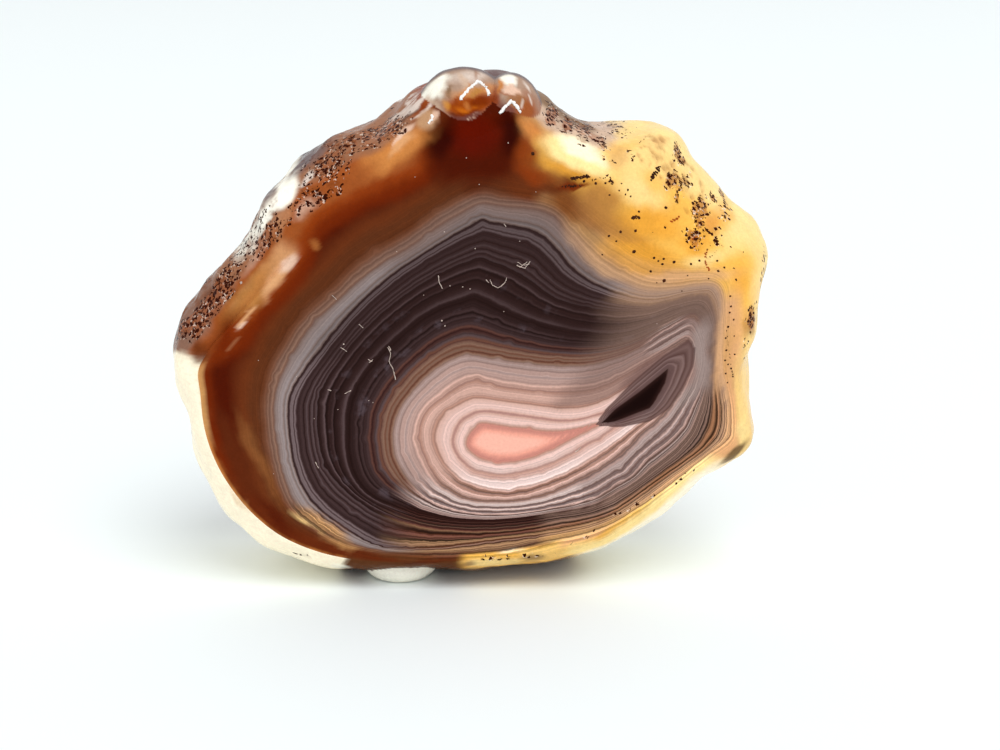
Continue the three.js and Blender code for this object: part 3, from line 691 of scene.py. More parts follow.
# %% Paint the face and the skin
BANDS_START = (3.6, 4.6)  # the growth over which the outer stains give way
KNOB_EDGE_SHADE = (-4.0, -2.8)  # the depth over which painted edge shade covers the back of the knob
stops = [at for at, _ in PROFILE]
channels = zip(*[linear(colour) for _, colour in PROFILE])
plain = np.stack([np.interp(DEPTHS["growth"], stops, channel) for channel in channels], -1)
paints = {"face": plain, "skin": np.tile(linear("straw"), (len(points), 1))}
outside_bands = 1 - soft_step(growth, *BANDS_START)
for layer, colour, start, end, depth_kind, *rest in ARCS:
    amount = arc(start, end, depth_kind, *rest)
    if depth_kind == "outer inset":
        amount = amount * outside_bands
    for name in paints:
        if layer in (name, "both"):
            paints[name] = lay(paints[name], colour, amount)
for colour, *place in CLOUDS:
    amount = blob(*place)
    paints = {name: lay(paint, colour, amount) for name, paint in paints.items()}
face_stain, skin_stain = paints["face"], paints["skin"]
skin_stain = np.where(knob[:, None], linear("glass"), skin_stain)
for colour, *place in KNOB_CLOUDS:
    skin_stain = lay(skin_stain, colour, blob(*place) * knob)
# Painted edge shade darkens the back of the knob, where its outline turns away from the front.
skin_stain = lay(skin_stain, "smoke", soft_step(points[:, 1], *KNOB_EDGE_SHADE) * knob)
skin_stain = lay(skin_stain, "cream", foot.astype(float))
print("Stains:", len(ARCS), "arcs and", len(CLOUDS) + len(KNOB_CLOUDS), "clouds")

# %% Veils on the bands, pinched bands and pitted ground
VEILS = [
    ("maroon", 17.0, 22.4, 3.6, 0.8, 38, 0.6, 0.9), ("dove", 22.3, 25.4, 1.0, 2.6, -12, 0.9, 0.8),
    ("dove", 22.5, 22.9, 0.95, 2.2, 10, 0.9, 0.9), ("dove", 21.6, 20.4, 2.0, 0.75, 62, 0.8, 0.9),
    ("peach", 24.3, 24.6, 0.6, 4.6, 0, 0.9, 0.9), ("tan", -14.6, 7.0, 3.2, 0.4, -33, 0.45, 1),
    ("taupe", 10.8, 35.6, 2.4, 0.9, -45, 0.5, 1),
]
# Haze that follows the bands: the colour, from and to in degrees about the eye, the growths between which it
# lies, both blurs, and the strength.
EYE = np.array([4.5, 15.3])
VEIL_ARCS = [
    ("cocoa", 58, 124, 4.9, 7.6, 14, 0.8, 0.5), ("night", 62, 158, 7.4, 14.0, 16, 1.6, 0.45),
    ("night", 46, 70, 10.4, 15.4, 8, 2.0, 0.5), ("sandstone", 10, 76, 5.0, 6.9, 8, 0.9, 0.85),
    ("biscuit", 14, 56, 6.6, 9.6, 12, 1.2, 0.72), ("taupe", 18, 54, 9.4, 12.0, 20, 1.0, 0.62),
    ("mushroom", 16, 50, 11.4, 17.2, 22, 1.4, 0.72), ("shade", 20, 48, 17.2, 22.4, 18, 1.0, 0.62),
    ("peach", -34, 22, 5.2, 7.9, 8, 0.7, 0.85), ("biscuit", -34, 22, 7.8, 9.6, 8, 0.7, 0.7),
    ("toffee", -36, 22, 9.4, 12.2, 8, 0.8, 0.7), ("mushroom", -36, 22, 12.0, 16.6, 8, 0.8, 0.66),
    ("cocoa", -36, 22, 16.6, 18.4, 8, 0.6, 0.5), ("drift", -36, 22, 18.4, 20.8, 8, 0.8, 0.5),
    ("butter", 284, 336, 4.2, 5.9, 8, 0.6, 0.85), ("tan", 284, 332, 5.8, 7.0, 8, 0.6, 0.75),
    ("fawn", 286, 332, 7.0, 8.8, 8, 0.6, 0.6), ("toffee", 282, 332, 8.8, 10.3, 8, 0.5, 0.5),
    ("taupe", 288, 332, 10.3, 12.2, 14, 0.6, 0.5), ("mushroom", 290, 334, 12.0, 15.2, 18, 0.7, 0.55),
    ("soot", 284, 332, 15.2, 16.2, 8, 0.5, 0.4), ("mushroom", 292, 334, 16.2, 18.0, 18, 0.5, 0.4),
    ("saffron", 262, 288, 4.2, 5.8, 8, 0.6, 0.6), ("cinnamon", 205, 252, 4.2, 6.4, 10, 0.8, 0.5),
]
# Pinched bands and pitted ground: centre, half-sizes, turn, how strong, and the edge.
PINCHED = [
    (1.5, 6.4, 9.6, 6.6, 0, 1, 0.5), (9.5, 8.0, 8.0, 6.0, 18, 1, 0.5), (17.5, 13.0, 8.0, 5.2, 38, 1, 0.5),
    (23.0, 17.5, 3.4, 4.5, 60, 1, 0.6), (19.3, 26.0, 2.6, 1.4, 38, 1, 0.5),
    (-14.8, 7.2, 3.6, 1.0, -33, 1, 0.5),
]
PITTED = [
    (-13.4, 40.6, 3.2, 1.4, 42, 0.9, 0.6), (-19.0, 35.0, 2.4, 0.8, 54, 0.95, 0.6),
    (-16.0, 38.2, 2.2, 0.8, 50, 0.5, 0.8), (-6.6, 45.8, 1.8, 0.7, 30, 0.7, 0.7),
    (7.9, 46.4, 0.7, 0.7, 0, 1, 0.5), (9.3, 45.5, 0.7, 0.6, 0, 1, 0.5), (10.9, 45.2, 1.0, 0.5, 0, 0.9, 0.5),
    (12.1, 44.5, 1.1, 0.45, -20, 0.95, 0.5), (9.6, 45.6, 2.8, 0.8, -35, 0.6, 0.8),
    (12.8, 43.6, 0.4, 0.9, 0, 0.9, 0.6), (14.4, 44.9, 1.9, 0.5, 0, 0.6, 0.8),
    (14.9, 43.2, 1.8, 1.0, 0, 0.2, 0.8), (20.1, 42.7, 0.55, 1.1, 0, 1, 0.5),
    (20.8, 41.8, 0.4, 0.4, 0, 1, 0.5), (19.3, 40.5, 0.8, 1.0, 0, 1, 0.5),
    (20.3, 39.9, 0.9, 0.9, 0, 0.9, 0.6), (19.7, 38.8, 0.4, 0.5, 0, 1, 0.5),
    (22.2, 37.7, 0.9, 1.2, 0, 1, 0.5), (22.3, 36.4, 0.6, 0.6, 0, 1, 0.5), (21.4, 35.3, 0.9, 1.0, 0, 1, 0.5),
    (23.4, 35.2, 1.1, 0.9, 0, 0.75, 0.6), (23.6, 38.3, 0.4, 0.55, 0, 1, 0.5),
    (24.9, 38.1, 0.4, 0.6, 0, 1, 0.5), (24.6, 37.0, 0.9, 0.6, 0, 0.6, 0.6),
    (27.0, 27.8, 0.6, 1.5, 5, 1, 0.5), (26.7, 24.8, 0.3, 1.0, 0, 0.8, 0.6),
    (28.6, 31.0, 0.4, 2.4, 0, 0.7, 0.6), (-27.9, 15.0, 0.4, 1.0, -60, 1, 0.5),
    (-16.0, 3.2, 1.2, 0.3, -12, 0.8, 0.6), (16.0, 8.8, 8.5, 0.2, 31, 0.4, 0.8),
    (3.4, 3.4, 3.4, 0.3, 3, 0.5, 0.8),
]
PITTED_REACH = 1.3  # across the rim; behind it the skin is smooth
PITTED_ARCS = [
    (106, 132, "inset", 0.25, 1.7, 4, 0.4, 0.9), (144, 165, "inset", 0.2, 1.9, 4, 0.4, 0.82),
    (163, 178, "inset", 0.4, 2.4, 3, 0.5, 1),
]
veil = np.zeros((len(points), 4))
about_eye = np.degrees(np.arctan2(flat[:, 1] - EYE[1], flat[:, 0] - EYE[0])) + sway * EYE_SWAY
covers = [(c, arc(*place[:2], "growth", *place[2:], about=about_eye)) for c, *place in VEIL_ARCS]
covers += [(c, blob(*place)) for c, *place in VEILS]
for colour, amount in covers:
    amount = np.clip(amount, 0, 1)[:, None]
    veil[:, :3] = veil[:, :3] * (1 - amount) + linear(colour) * amount
    veil[:, 3:] = 1 - (1 - veil[:, 3:]) * (1 - amount)
veil[:, :3] /= np.clip(veil[:, 3:], 1e-3, None)
pinch = union(blob(*place) for place in PINCHED)
pitted = union([blob(*place) for place in PITTED] + [arc(*place) for place in PITTED_ARCS])
pitted *= (DEPTHS["across"] < PITTED_REACH) & ~foot

# %% Glow where the stone is thin and pale
# Light comes through the thin pale rim, so it's a little brighter than white light on it alone would make it.
GLOW_ARCS = [
    (181, 240, "across", -1, 3, 3, 0.2, 0.09), (296, 338, "inset", -1, 3.0, 6, 1.6, 0.08),
    (-4, 62, "inset", -1, 6.0, 10, 4.0, 0.03), (268, 298, "inset", -1, 3.0, 6, 1.2, 0.08),
]
GLOW_CLOUDS = [
    (10.4, 43.3, 3.6, 1.2, -25, 0.08, 1), (-17.8, 38.2, 3.4, 1.4, 58, 0.12, 0.8),
]
glow = union([arc(*place) for place in GLOW_ARCS] + [blob(*place) for place in GLOW_CLOUDS])
print("Glow: up to", round(float(glow.max()), 2))

# %% Build the mesh object with its painted values
SHARP_ABOVE = 38  # degrees between two faces
mesh = bpy.data.meshes.new("agate_stone")
mesh.from_pydata((points * MM).tolist(), [], quads.tolist())
mesh.polygons.foreach_set("use_smooth", [True] * len(quads))
amounts = {"growth": growth, "core": core, "pit": pit, "pinch": pinch, "pitted": pitted, "glow": glow}
for name, values in amounts.items():
    mesh.attributes.new(name, "FLOAT", "POINT").data.foreach_set("value", np.asarray(values, np.float32))
opaque = np.ones((len(points), 1))
colours = {"face_stain": np.hstack([face_stain, opaque]), "skin_stain": np.hstack([skin_stain, opaque]),
           "veil": veil}
for name, values in colours.items():
    data = mesh.attributes.new(name, "FLOAT_COLOR", "POINT").data
    data.foreach_set("color", np.asarray(values, np.float32).ravel())
face_share = shares[quads]
is_flat = (face_share.min(axis=1) < 0) | (face_share.max(axis=1) > 2)
mesh.polygons.foreach_set("material_index", np.where(is_flat, 0, 1).astype(np.int32))
mesh.set_sharp_from_angle(angle=math.radians(SHARP_ABOVE))
stone = bpy.data.objects.new("agate_stone", mesh)
bpy.context.scene.collection.objects.link(stone)
print("Stone:", len(mesh.polygons), "faces")

# %% [markdown]
# ## Shader groups
#
# Three effects are node groups, so that both materials can use them: the band sequence, the pits and the
# polish. One helper places nodes and another makes groups. The others are the few sums that come back in
# every group.

# %% Helpers for nodes
def add(tree, kind, inputs=(), **settings):
    """Adds a node, sets its properties, and fills inputs given as {socket: value or output}."""
    node = tree.nodes.new(kind)
    for name, value in settings.items():
        setattr(node, name, value)
    for socket, value in dict(inputs).items():
        if isinstance(value, bpy.types.NodeSocket):
            tree.links.new(value, node.inputs[socket])
        else:
            node.inputs[socket].default_value = value
    return node


def group(name, inputs, outputs):
    """A shader node group with named sockets. Returns the tree, its input node and its output node."""
    tree = bpy.data.node_groups.new(name, "ShaderNodeTree")
    for label, kind, default in inputs:
        socket = tree.interface.new_socket(label, in_out="INPUT", socket_type="NodeSocket" + kind)
        if default is not None:
            socket.default_value = default
    for label, kind in outputs:
        tree.interface.new_socket(label, in_out="OUTPUT", socket_type="NodeSocket" + kind)
    return tree, tree.nodes.new("NodeGroupInput"), tree.nodes.new("NodeGroupOutput")


def hand_out(tree, out, results):
    """Links results to a tree's outputs by name."""
    for name, value in results.items():
        tree.links.new(value, out.inputs[name])


def rgba(colour):
    return (*linear(colour), 1.0)


def math_node(tree, operation, *values, clamp=False):
    node = add(tree, "ShaderNodeMath", dict(enumerate(values)), operation=operation, use_clamp=clamp)
    return node.outputs[0]


def product(tree, first, *others):
    for other in others:
        first = math_node(tree, "MULTIPLY", first, other)
    return first


def mix_colour(tree, factor, a, b, blend="MIX"):
    """Mixes two colours. On a Mix node they are sockets 6 and 7."""
    return add(tree, "ShaderNodeMix", {0: factor, 6: a, 7: b}, data_type="RGBA", blend_type=blend).outputs[2]


def grey(tree, value):
    return add(tree, "ShaderNodeCombineColor", {"Red": value, "Green": value, "Blue": value}).outputs[0]


def noise_node(tree, place, scale, detail, roughness=0.5):
    values = {"Vector": place, "Scale": scale, "Detail": detail, "Roughness": roughness}
    return add(tree, "ShaderNodeTexNoise", values)


def noise_value(tree, place, **settings):
    return noise_node(tree, place, **settings).outputs["Fac"]


def noise_along(tree, growth, density, detail, roughness):
    """Noise that changes with growth only, so that it makes lines."""
    values = {"W": product(tree, growth, density), "Scale": 1.0, "Detail": detail, "Roughness": roughness}
    return add(tree, "ShaderNodeTexNoise", values, noise_dimensions="1D").outputs["Fac"]


def shake(tree, noise_colour, strength):
    """A noise colour as a vector about zero."""
    centred = add(tree, "ShaderNodeVectorMath", {0: noise_colour, 1: (0.5, 0.5, 0.5)}, operation="SUBTRACT")
    values = {0: centred.outputs[0], "Scale": strength}
    return add(tree, "ShaderNodeVectorMath", values, operation="SCALE").outputs[0]


def ease(tree, value, low, high, to_low=0.0, to_high=1.0):
    """A smooth step from one value to another."""
    values = {"Value": value, "From Min": low, "From Max": high, "To Min": to_low, "To Max": to_high}
    return add(tree, "ShaderNodeMapRange", values, interpolation_type="SMOOTHSTEP").outputs[0]


def around_one(tree, value, low, high, darker, lighter):
    """Spreads a noise value from 1 less something at low to 1 plus something at high."""
    darkest = math_node(tree, "SUBTRACT", 1.0, darker)
    lightest = math_node(tree, "ADD", 1.0, lighter)
    values = {"Value": value, "From Min": low, "From Max": high, "To Min": darkest, "To Max": lightest}
    return add(tree, "ShaderNodeMapRange", values).outputs[0]


def ramp(tree, value, stops):
    """The colour at a value on a ramp of (place, colour) stops."""
    node = add(tree, "ShaderNodeValToRGB", {"Fac": value})
    elements = node.color_ramp.elements
    elements.remove(elements[1])
    for i, (at, colour) in enumerate(stops):
        element = elements[0] if i == 0 else elements.new(at)
        element.position = at
        element.color = rgba(colour)
    return node.outputs["Color"]


# %% [markdown]
# ## The band sequence
#
# A colour ramp holds 32 stops, and the sequence needs more, so several ramps each cover a stretch of growth
# and hand over to the next. Where the bands pinch together at the foot of the stone the thin light bands stay
# while the wide ones close up, so that part has a sequence of its own on the same growth value. The value is
# first nudged by noise, or the bands would look machine drawn.

# %% Tones and the sequences, from the rim to the eye
TONES = {
    "soot": (42, 20, 16), "ink": (32, 16, 14), "plum": (54, 28, 26), "bark": (64, 40, 36),
    "dusk": (46, 29, 28), "slate": (63, 45, 45), "ash": (85, 67, 68), "silver": (112, 95, 96),
    "haze": (124, 104, 98), "mist": (140, 124, 121), "pearl": (148, 134, 133), "umber": (84, 50, 42),
    "cocoa": (92, 58, 50), "rust": (98, 54, 36), "brick": (104, 66, 52), "nut": (134, 98, 72),
    "clay": (116, 82, 68), "thread": (130, 98, 82), "straw": (156, 118, 86), "fawn": (140, 108, 98),
    "taupe": (154, 126, 118), "dove": (168, 142, 136), "lichen": (170, 138, 129), "stone": (184, 150, 140),
    "chalk": (214, 190, 184), "snow": (242, 215, 209), "blush": (192, 150, 136), "rose": (207, 165, 151),
    "shell": (220, 180, 168), "milk": (230, 192, 182), "petal": (240, 200, 190), "sand": (172, 128, 112),
    "mauve": (184, 138, 128), "grape": (152, 116, 106), "salmon": (241, 164, 144), "peach": (252, 186, 166),
    "coral": (208, 138, 124),
}
BANDS = [
    (5.3, "clay"), (5.7, "clay"), (5.85, "thread"), (6.0, "clay"), (6.2, "thread"), (6.35, "clay"),
    (6.6, "haze"), (7.0, "mist"), (7.3, "pearl"), (7.5, "haze"), (7.7, "pearl"), (7.85, "haze"),
    (7.98, "dusk"), (8.12, "slate"), (8.3, "silver"), (8.45, "silver"), (8.6, "slate"), (8.72, "silver"),
    (8.9, "slate"), (9.05, "dusk"), (9.25, "slate"), (9.5, "slate"), (9.62, "ink"), (9.8, "slate"),
    (10.0, "ash"), (10.12, "slate"), (10.3, "dusk"), (10.55, "ash"), (10.7, "dusk"), (10.85, "slate"),
    (11.0, "ash"), (11.12, "ink"), (11.4, "dusk"), (11.6, "slate"), (11.75, "ash"), (11.88, "ink"),
    (12.3, "dusk"), (12.5, "slate"), (12.6, "ink"), (13.1, "dusk"), (13.3, "slate"), (13.5, "ash"),
    (13.65, "dusk"), (14.0, "ink"), (14.4, "dusk"), (14.6, "dusk"), (14.85, "slate"), (15.0, "ink"),
    (15.3, "slate"), (15.45, "dusk"), (15.9, "slate"), (16.1, "cocoa"), (16.3, "plum"), (16.5, "bark"),
    (16.8, "ash"), (17.05, "brick"), (17.2, "cocoa"), (17.5, "thread"), (17.7, "brick"), (17.9, "thread"),
    (18.05, "brick"), (18.2, "brick"), (18.35, "thread"), (18.6, "taupe"), (18.8, "dove"), (19.0, "taupe"),
    (19.2, "lichen"), (19.4, "stone"), (19.6, "dove"), (19.8, "stone"), (20.0, "stone"), (20.15, "lichen"),
    (20.45, "rose"), (20.65, "blush"), (20.8, "grape"), (20.95, "sand"), (21.2, "blush"), (21.45, "rose"),
    (21.9, "rose"), (22.15, "blush"), (22.4, "sand"), (22.55, "sand"), (22.75, "rose"), (23.1, "shell"),
    (23.5, "milk"), (23.95, "milk"), (24.2, "rose"), (24.36, "mauve"), (24.5, "mauve"), (24.7, "rose"),
    (25.0, "milk"), (25.3, "petal"), (25.6, "shell"), (25.82, "sand"), (25.98, "coral"), (26.2, "coral"),
    (26.5, "salmon"), (26.9, "peach"), (27.4, "peach"),
]
PINCHED_BANDS = [
    (5.3, "rust"), (5.7, "rust"), (6.0, "nut"), (6.2, "brick"), (6.5, "nut"), (6.7, "straw"), (6.9, "nut"),
    (7.1, "straw"), (7.4, "straw"), (7.6, "brick"), (7.9, "thread"), (8.2, "rust"), (8.6, "nut"),
    (8.9, "straw"), (9.3, "nut"), (9.6, "umber"), (9.9, "brick"), (10.2, "umber"), (10.5, "rust"),
    (10.8, "brick"), (11.1, "nut"), (11.4, "umber"), (11.7, "soot"), (12.0, "umber"), (12.3, "thread"),
    (12.5, "umber"), (12.8, "soot"), (13.0, "cocoa"), (13.2, "soot"), (13.6, "soot"), (13.75, "cocoa"),
    (13.9, "soot"), (15.2, "soot"), (15.4, "slate"), (15.6, "lichen"), (15.8, "plum"), (16.0, "dove"),
    (16.4, "stone"), (16.7, "chalk"), (16.9, "taupe"), (17.1, "chalk"), (17.4, "haze"), (17.55, "umber"),
    (17.7, "slate"), (17.9, "lichen"), (18.2, "stone"), (18.45, "dove"), (18.7, "ash"), (18.85, "fawn"),
    (19.05, "chalk"), (19.3, "stone"), (19.5, "silver"), (19.65, "fawn"), (19.85, "chalk"),
    (20.15, "chalk"), (20.35, "taupe"), (20.55, "stone"), (20.75, "clay"), (20.9, "fawn"), (21.15, "rose"),
    (21.4, "shell"), (21.65, "sand"), (21.9, "fawn"), (22.05, "clay"), (22.25, "sand"), (22.5, "shell"),
    (22.8, "snow"), (23.5, "snow"), (23.85, "rose"), (24.05, "mauve"), (24.2, "sand"), (24.4, "blush"),
    (24.7, "snow"), (25.2, "snow"), (25.5, "petal"), (25.7, "mauve"), (25.9, "coral"), (26.15, "coral"),
    (26.5, "salmon"), (27.4, "peach"),
]
RAMP_STOPS = 30


def band_colour(tree, value, bands):
    """The colour of a sequence at a growth value, from as many ramps as it needs."""
    colour = None
    for start in range(0, len(bands) - 1, RAMP_STOPS):
        part = bands[start:start + RAMP_STOPS + 1]
        first, last = part[0][0], part[-1][0]
        scaled = add(tree, "ShaderNodeMapRange", {"Value": value, "From Min": first, "From Max": last})
        stops = [((at - first) / (last - first), TONES[tone]) for at, tone in part]
        stretch = ramp(tree, scaled.outputs[0], stops)
        if colour is None:
            colour = stretch
        else:
            colour = mix_colour(tree, math_node(tree, "GREATER_THAN", value, first), colour, stretch)
    return colour


# %% The band group
BLISTER_REACH = 0.34  # the share of a cell that its blister covers
PUFFS = [(15.1, 0.9), (12.4, 0.6)]  # milky puffs: the growth in the middle and how far from it they reach
PUFF_COLOUR = (80, 66, 71)
PUFF_STRENGTH = 0.75
# The growth over which the thin lines set in and end, and the same for the coarse ones.
THIN_START, THIN_END = (3.2, 5.4), (25.9, 26.3)
COARSE_START, COARSE_END = (4.0, 7.0), (16.0, 19.0)
COARSE_DEPTH, COARSE_LEFT = 0.8, 0.25  # how deep they are, and the share that is left inside


def make_band_group():
    tree, given, out = group(
        "agate bands",
        [("Growth", "Float", 0), ("Place", "Vector", None), ("Pinch", "Float", 0), ("Wobble", "Float", 0.1),
         ("Blister", "Float", 0.2), ("Threads", "Float", 0.2)],
        [("Color", "Color"), ("Growth", "Float"), ("Lines", "Color")],
    )
    growth, place, pinch, wobble, blister, threads = list(given.outputs)[:6]
    # Nudge the growth.
    pinched = math_node(tree, "ADD", 1.0, pinch)
    wander = noise_value(tree, place, scale=0.7, detail=4.0, roughness=0.62)
    wander = math_node(tree, "SUBTRACT", wander, 0.5)
    wander = product(tree, wander, wobble, pinched, 2.0)
    cells = add(tree, "ShaderNodeTexVoronoi", {"Vector": place, "Scale": 0.5, "Randomness": 1.0})
    dome = product(tree, ease(tree, cells.outputs["Distance"], 0.0, BLISTER_REACH, 1.0, 0.0), blister)
    moved = math_node(tree, "ADD", math_node(tree, "ADD", growth, wander), dome)
    colour = mix_colour(tree, pinch, band_colour(tree, moved, BANDS), band_colour(tree, moved, PINCHED_BANDS))
    # Milky puffs in two of the dark bands.
    lumps = noise_value(tree, place, scale=0.62, detail=3.0, roughness=0.55)
    lumps = ease(tree, lumps, 0.54, 0.68, 0.0, PUFF_STRENGTH)
    lumps = product(tree, lumps, math_node(tree, "SUBTRACT", 1.0, pinch))
    for middle, reach in PUFFS:
        off = math_node(tree, "ABSOLUTE", math_node(tree, "SUBTRACT", moved, middle))
        amount = product(tree, ease(tree, off, 0.0, reach, 1.0, 0.0), lumps)
        colour = mix_colour(tree, amount, colour, rgba(PUFF_COLOUR))
    # Thin lines, which fade out in the eye and outside the bands.
    stretch = product(tree, ease(tree, moved, *THIN_END, 1.0, 0.0), ease(tree, moved, *THIN_START))
    threads = product(tree, threads, stretch, pinched)
    thin = noise_along(tree, moved, density=4.4, detail=2.0, roughness=0.6)
    thin = around_one(tree, thin, 0.32, 0.68, threads, threads)
    # Coarser lines where the bands pinch, most of all in the outer ones.
    depth = ease(tree, moved, *COARSE_END, 1.0, COARSE_LEFT)
    depth = product(tree, depth, ease(tree, moved, *COARSE_START), pinch, COARSE_DEPTH)
    coarse = noise_along(tree, moved, density=1.35, detail=3.0, roughness=0.66)
    coarse = around_one(tree, coarse, 0.36, 0.64, depth, depth)
    grain = noise_value(tree, place, scale=3.6, detail=3.0, roughness=0.7)
    grain = math_node(tree, "MULTIPLY_ADD", grain, 0.36, 0.82)
    lines = grey(tree, product(tree, thin, coarse, grain))
    hand_out(tree, out, {"Color": colour, "Growth": moved, "Lines": lines})
    return tree


band_group = make_band_group()
print("Band sequences:", len(BANDS), "and", len(PINCHED_BANDS), "stops")

# %% [markdown]
# ## Pits and polish
#
# The skin is eaten by hundreds of tiny pits. A real one is a dark hole with a bright lip on the side that
# faces the light; here that lip is a painted highlight, so the group samples its cells twice, a little apart:
# the first makes the hole and what the second adds is the painted highlight. Where the pits crowd, the ground
# between them is rusty. The polish is a faintly uneven gloss, and on the skin a fine peel.

# %% The pit and polish groups
PIT_RAGGED = 0.8  # mm, the whole range over which noise shifts a pit's edge
PIT_EDGE = (0.4, 0.54)  # where a hole ends, as a share of its cell
PIT_HEIGHT = -0.3


def make_pit_group():
    tree, given, out = group(
        "agate pits",
        [("Place", "Vector", None), ("Density", "Float", 0), ("Size", "Float", 0.3),
         ("Shift", "Vector", None)],
        [("Hole", "Float"), ("Lip", "Float"), ("Ground", "Float"), ("Height", "Float")],
    )
    place, density, size, shift = list(given.outputs)[:4]
    # Clumps where the pits are sparse, and all of the ground where they are dense.
    clump = ease(tree, noise_value(tree, place, scale=1.1, detail=2.0), 0.42, 0.56)
    clump = math_node(tree, "MAXIMUM", clump, ease(tree, density, 0.9, 1.0))
    crowd = product(tree, density, math_node(tree, "MULTIPLY_ADD", clump, 0.5, 0.5))
    ground = product(tree, clump, ease(tree, density, 0.7, 1.0))
    jitter = shake(tree, noise_node(tree, place, scale=3.2, detail=3.0).outputs["Color"], PIT_RAGGED)
    ragged = add(tree, "ShaderNodeVectorMath", {0: place, 1: jitter}).outputs[0]
    beside = add(tree, "ShaderNodeVectorMath", {0: ragged, 1: shift}).outputs[0]
    scale = math_node(tree, "DIVIDE", 1.0, size)
    masks = []
    for at in (ragged, beside):
        cells = add(tree, "ShaderNodeTexVoronoi", {"Vector": at, "Scale": scale, "Randomness": 1.0})
        chance = add(tree, "ShaderNodeSeparateColor", {"Color": cells.outputs["Color"]}).outputs[0]
        inside = ease(tree, cells.outputs["Distance"], *PIT_EDGE, 1.0, 0.0)
        masks.append(product(tree, inside, math_node(tree, "LESS_THAN", chance, crowd)))
    # Painted highlight: the lip is the part of the shifted pit that the hole leaves uncovered.
    lip = math_node(tree, "SUBTRACT", masks[1], masks[0], clamp=True)
    lip = product(tree, lip, ease(tree, noise_value(tree, place, scale=1.8, detail=1.0), 0.46, 0.6))
    height = product(tree, masks[0], PIT_HEIGHT)
    hand_out(tree, out, {"Hole": masks[0], "Lip": lip, "Ground": ground, "Height": height})
    return tree


def make_polish_group():
    tree, given, out = group(
        "agate polish",
        [("Place", "Vector", None), ("Gloss", "Float", 0.1), ("Peel", "Float", 0.0),
         ("Peel Size", "Float", 1.0), ("Color", "Color", None), ("Mottle", "Float", 0.1)],
        [("Color", "Color"), ("Roughness", "Float"), ("Height", "Float")],
    )
    place, gloss, peel, peel_size, colour, mottle = list(given.outputs)[:6]
    rough = product(tree, noise_value(tree, place, scale=0.35, detail=5.0), gloss, 2.0)
    height = product(tree, noise_value(tree, place, scale=peel_size, detail=3.0), peel)
    marks = noise_value(tree, place, scale=0.8, detail=5.0, roughness=0.65)
    factor = around_one(tree, marks, 0.32, 0.68, mottle, product(tree, mottle, 0.6))
    colour = mix_colour(tree, 1.0, colour, grey(tree, factor), "MULTIPLY")
    hand_out(tree, out, {"Color": colour, "Roughness": rough, "Height": height})
    return tree


pit_group, polish_group = make_pit_group(), make_polish_group()

# %% [markdown]
# ## Two finishes
#
# The sawn faces are flat and shine evenly. The skin is waxier, with peel and pits. Both read the same painted
# values, so the bands run on from the face over the rim without a seam.

# %% The parts of a finish
# The dark wedge: colours from its edge to the halo's edge, and from deep inside it to its edge.
WEDGE_LINES = [
    (0.0, (44, 24, 22)), (0.06, (76, 54, 54)), (0.26, (86, 62, 62)), (0.32, (116, 90, 88)),
    (0.4, (74, 48, 46)), (0.52, (100, 74, 71)), (0.6, (122, 97, 94)), (0.68, (80, 54, 51)),
    (0.82, (110, 84, 80)), (0.92, (90, 63, 60)), (1.0, (66, 42, 40)),
]
WEDGE_INSIDE = [(0.0, (20, 5, 4)), (0.6, (24, 8, 6)), (0.92, (40, 20, 17)), (1.0, (62, 40, 37))]
WEDGE_REACH = (0.9, 1.08)  # where its lines end, as a share of the way to the halo's edge
WEDGE_STRENGTH = 0.92
BANDS_BEGIN = (5.3, 6.5)  # the growth over which the stain hands over to the bands
# What the pits add, one over the other, each with its colour and how strong it is.
GROUND = ((156, 82, 40), 0.6)
# The lip colour is a painted highlight on the side of each pit that faces the light.
LIP_GLINT = ((255, 238, 222), 0.6)
DIMPLE = ((124, 60, 22), 0.4)
HOLE = ((54, 15, 4), 1.0)


def painted(tree, name, socket="Fac"):
    return add(tree, "ShaderNodeAttribute", attribute_name=name).outputs[socket]


def placed(tree, node_tree, inputs):
    """A placed group's outputs."""
    return add(tree, "ShaderNodeGroup", inputs, node_tree=node_tree).outputs


def banded_colour(tree, place, stain):
    """The stain outside, the bands inside, and the dark wedge with the lines that hug it."""
    bands = placed(tree, band_group, {
        "Growth": painted(tree, "growth"), "Place": place, "Pinch": painted(tree, "pinch"), "Wobble": 0.16,
        "Blister": 0.2, "Threads": 0.17})
    veil = add(tree, "ShaderNodeAttribute", attribute_name="veil").outputs
    veiled = mix_colour(tree, veil["Alpha"], bands["Color"], veil["Color"])
    colour = mix_colour(tree, ease(tree, bands["Growth"], *BANDS_BEGIN), stain, veiled)
    colour = mix_colour(tree, 1.0, colour, bands["Lines"], "MULTIPLY")
    apart = painted(tree, "core")
    lines = ramp(tree, apart, WEDGE_LINES)
    colour = mix_colour(tree, ease(tree, apart, *WEDGE_REACH, WEDGE_STRENGTH, 0.0), colour, lines)
    inside = ramp(tree, math_node(tree, "ADD", 1.0, apart), WEDGE_INSIDE)
    return mix_colour(tree, math_node(tree, "LESS_THAN", apart, 0.0), colour, inside)


# %% Make the finishes
PIT_SIZE = 0.42  # mm from one pit to the next where they crowd
# How far the painted lip highlight sits from its hole.
PIT_LIP_SHIFT = (0.11, 0.0, 0.1)  # mm, towards the light
BUMP_DISTANCE = 0.15  # mm


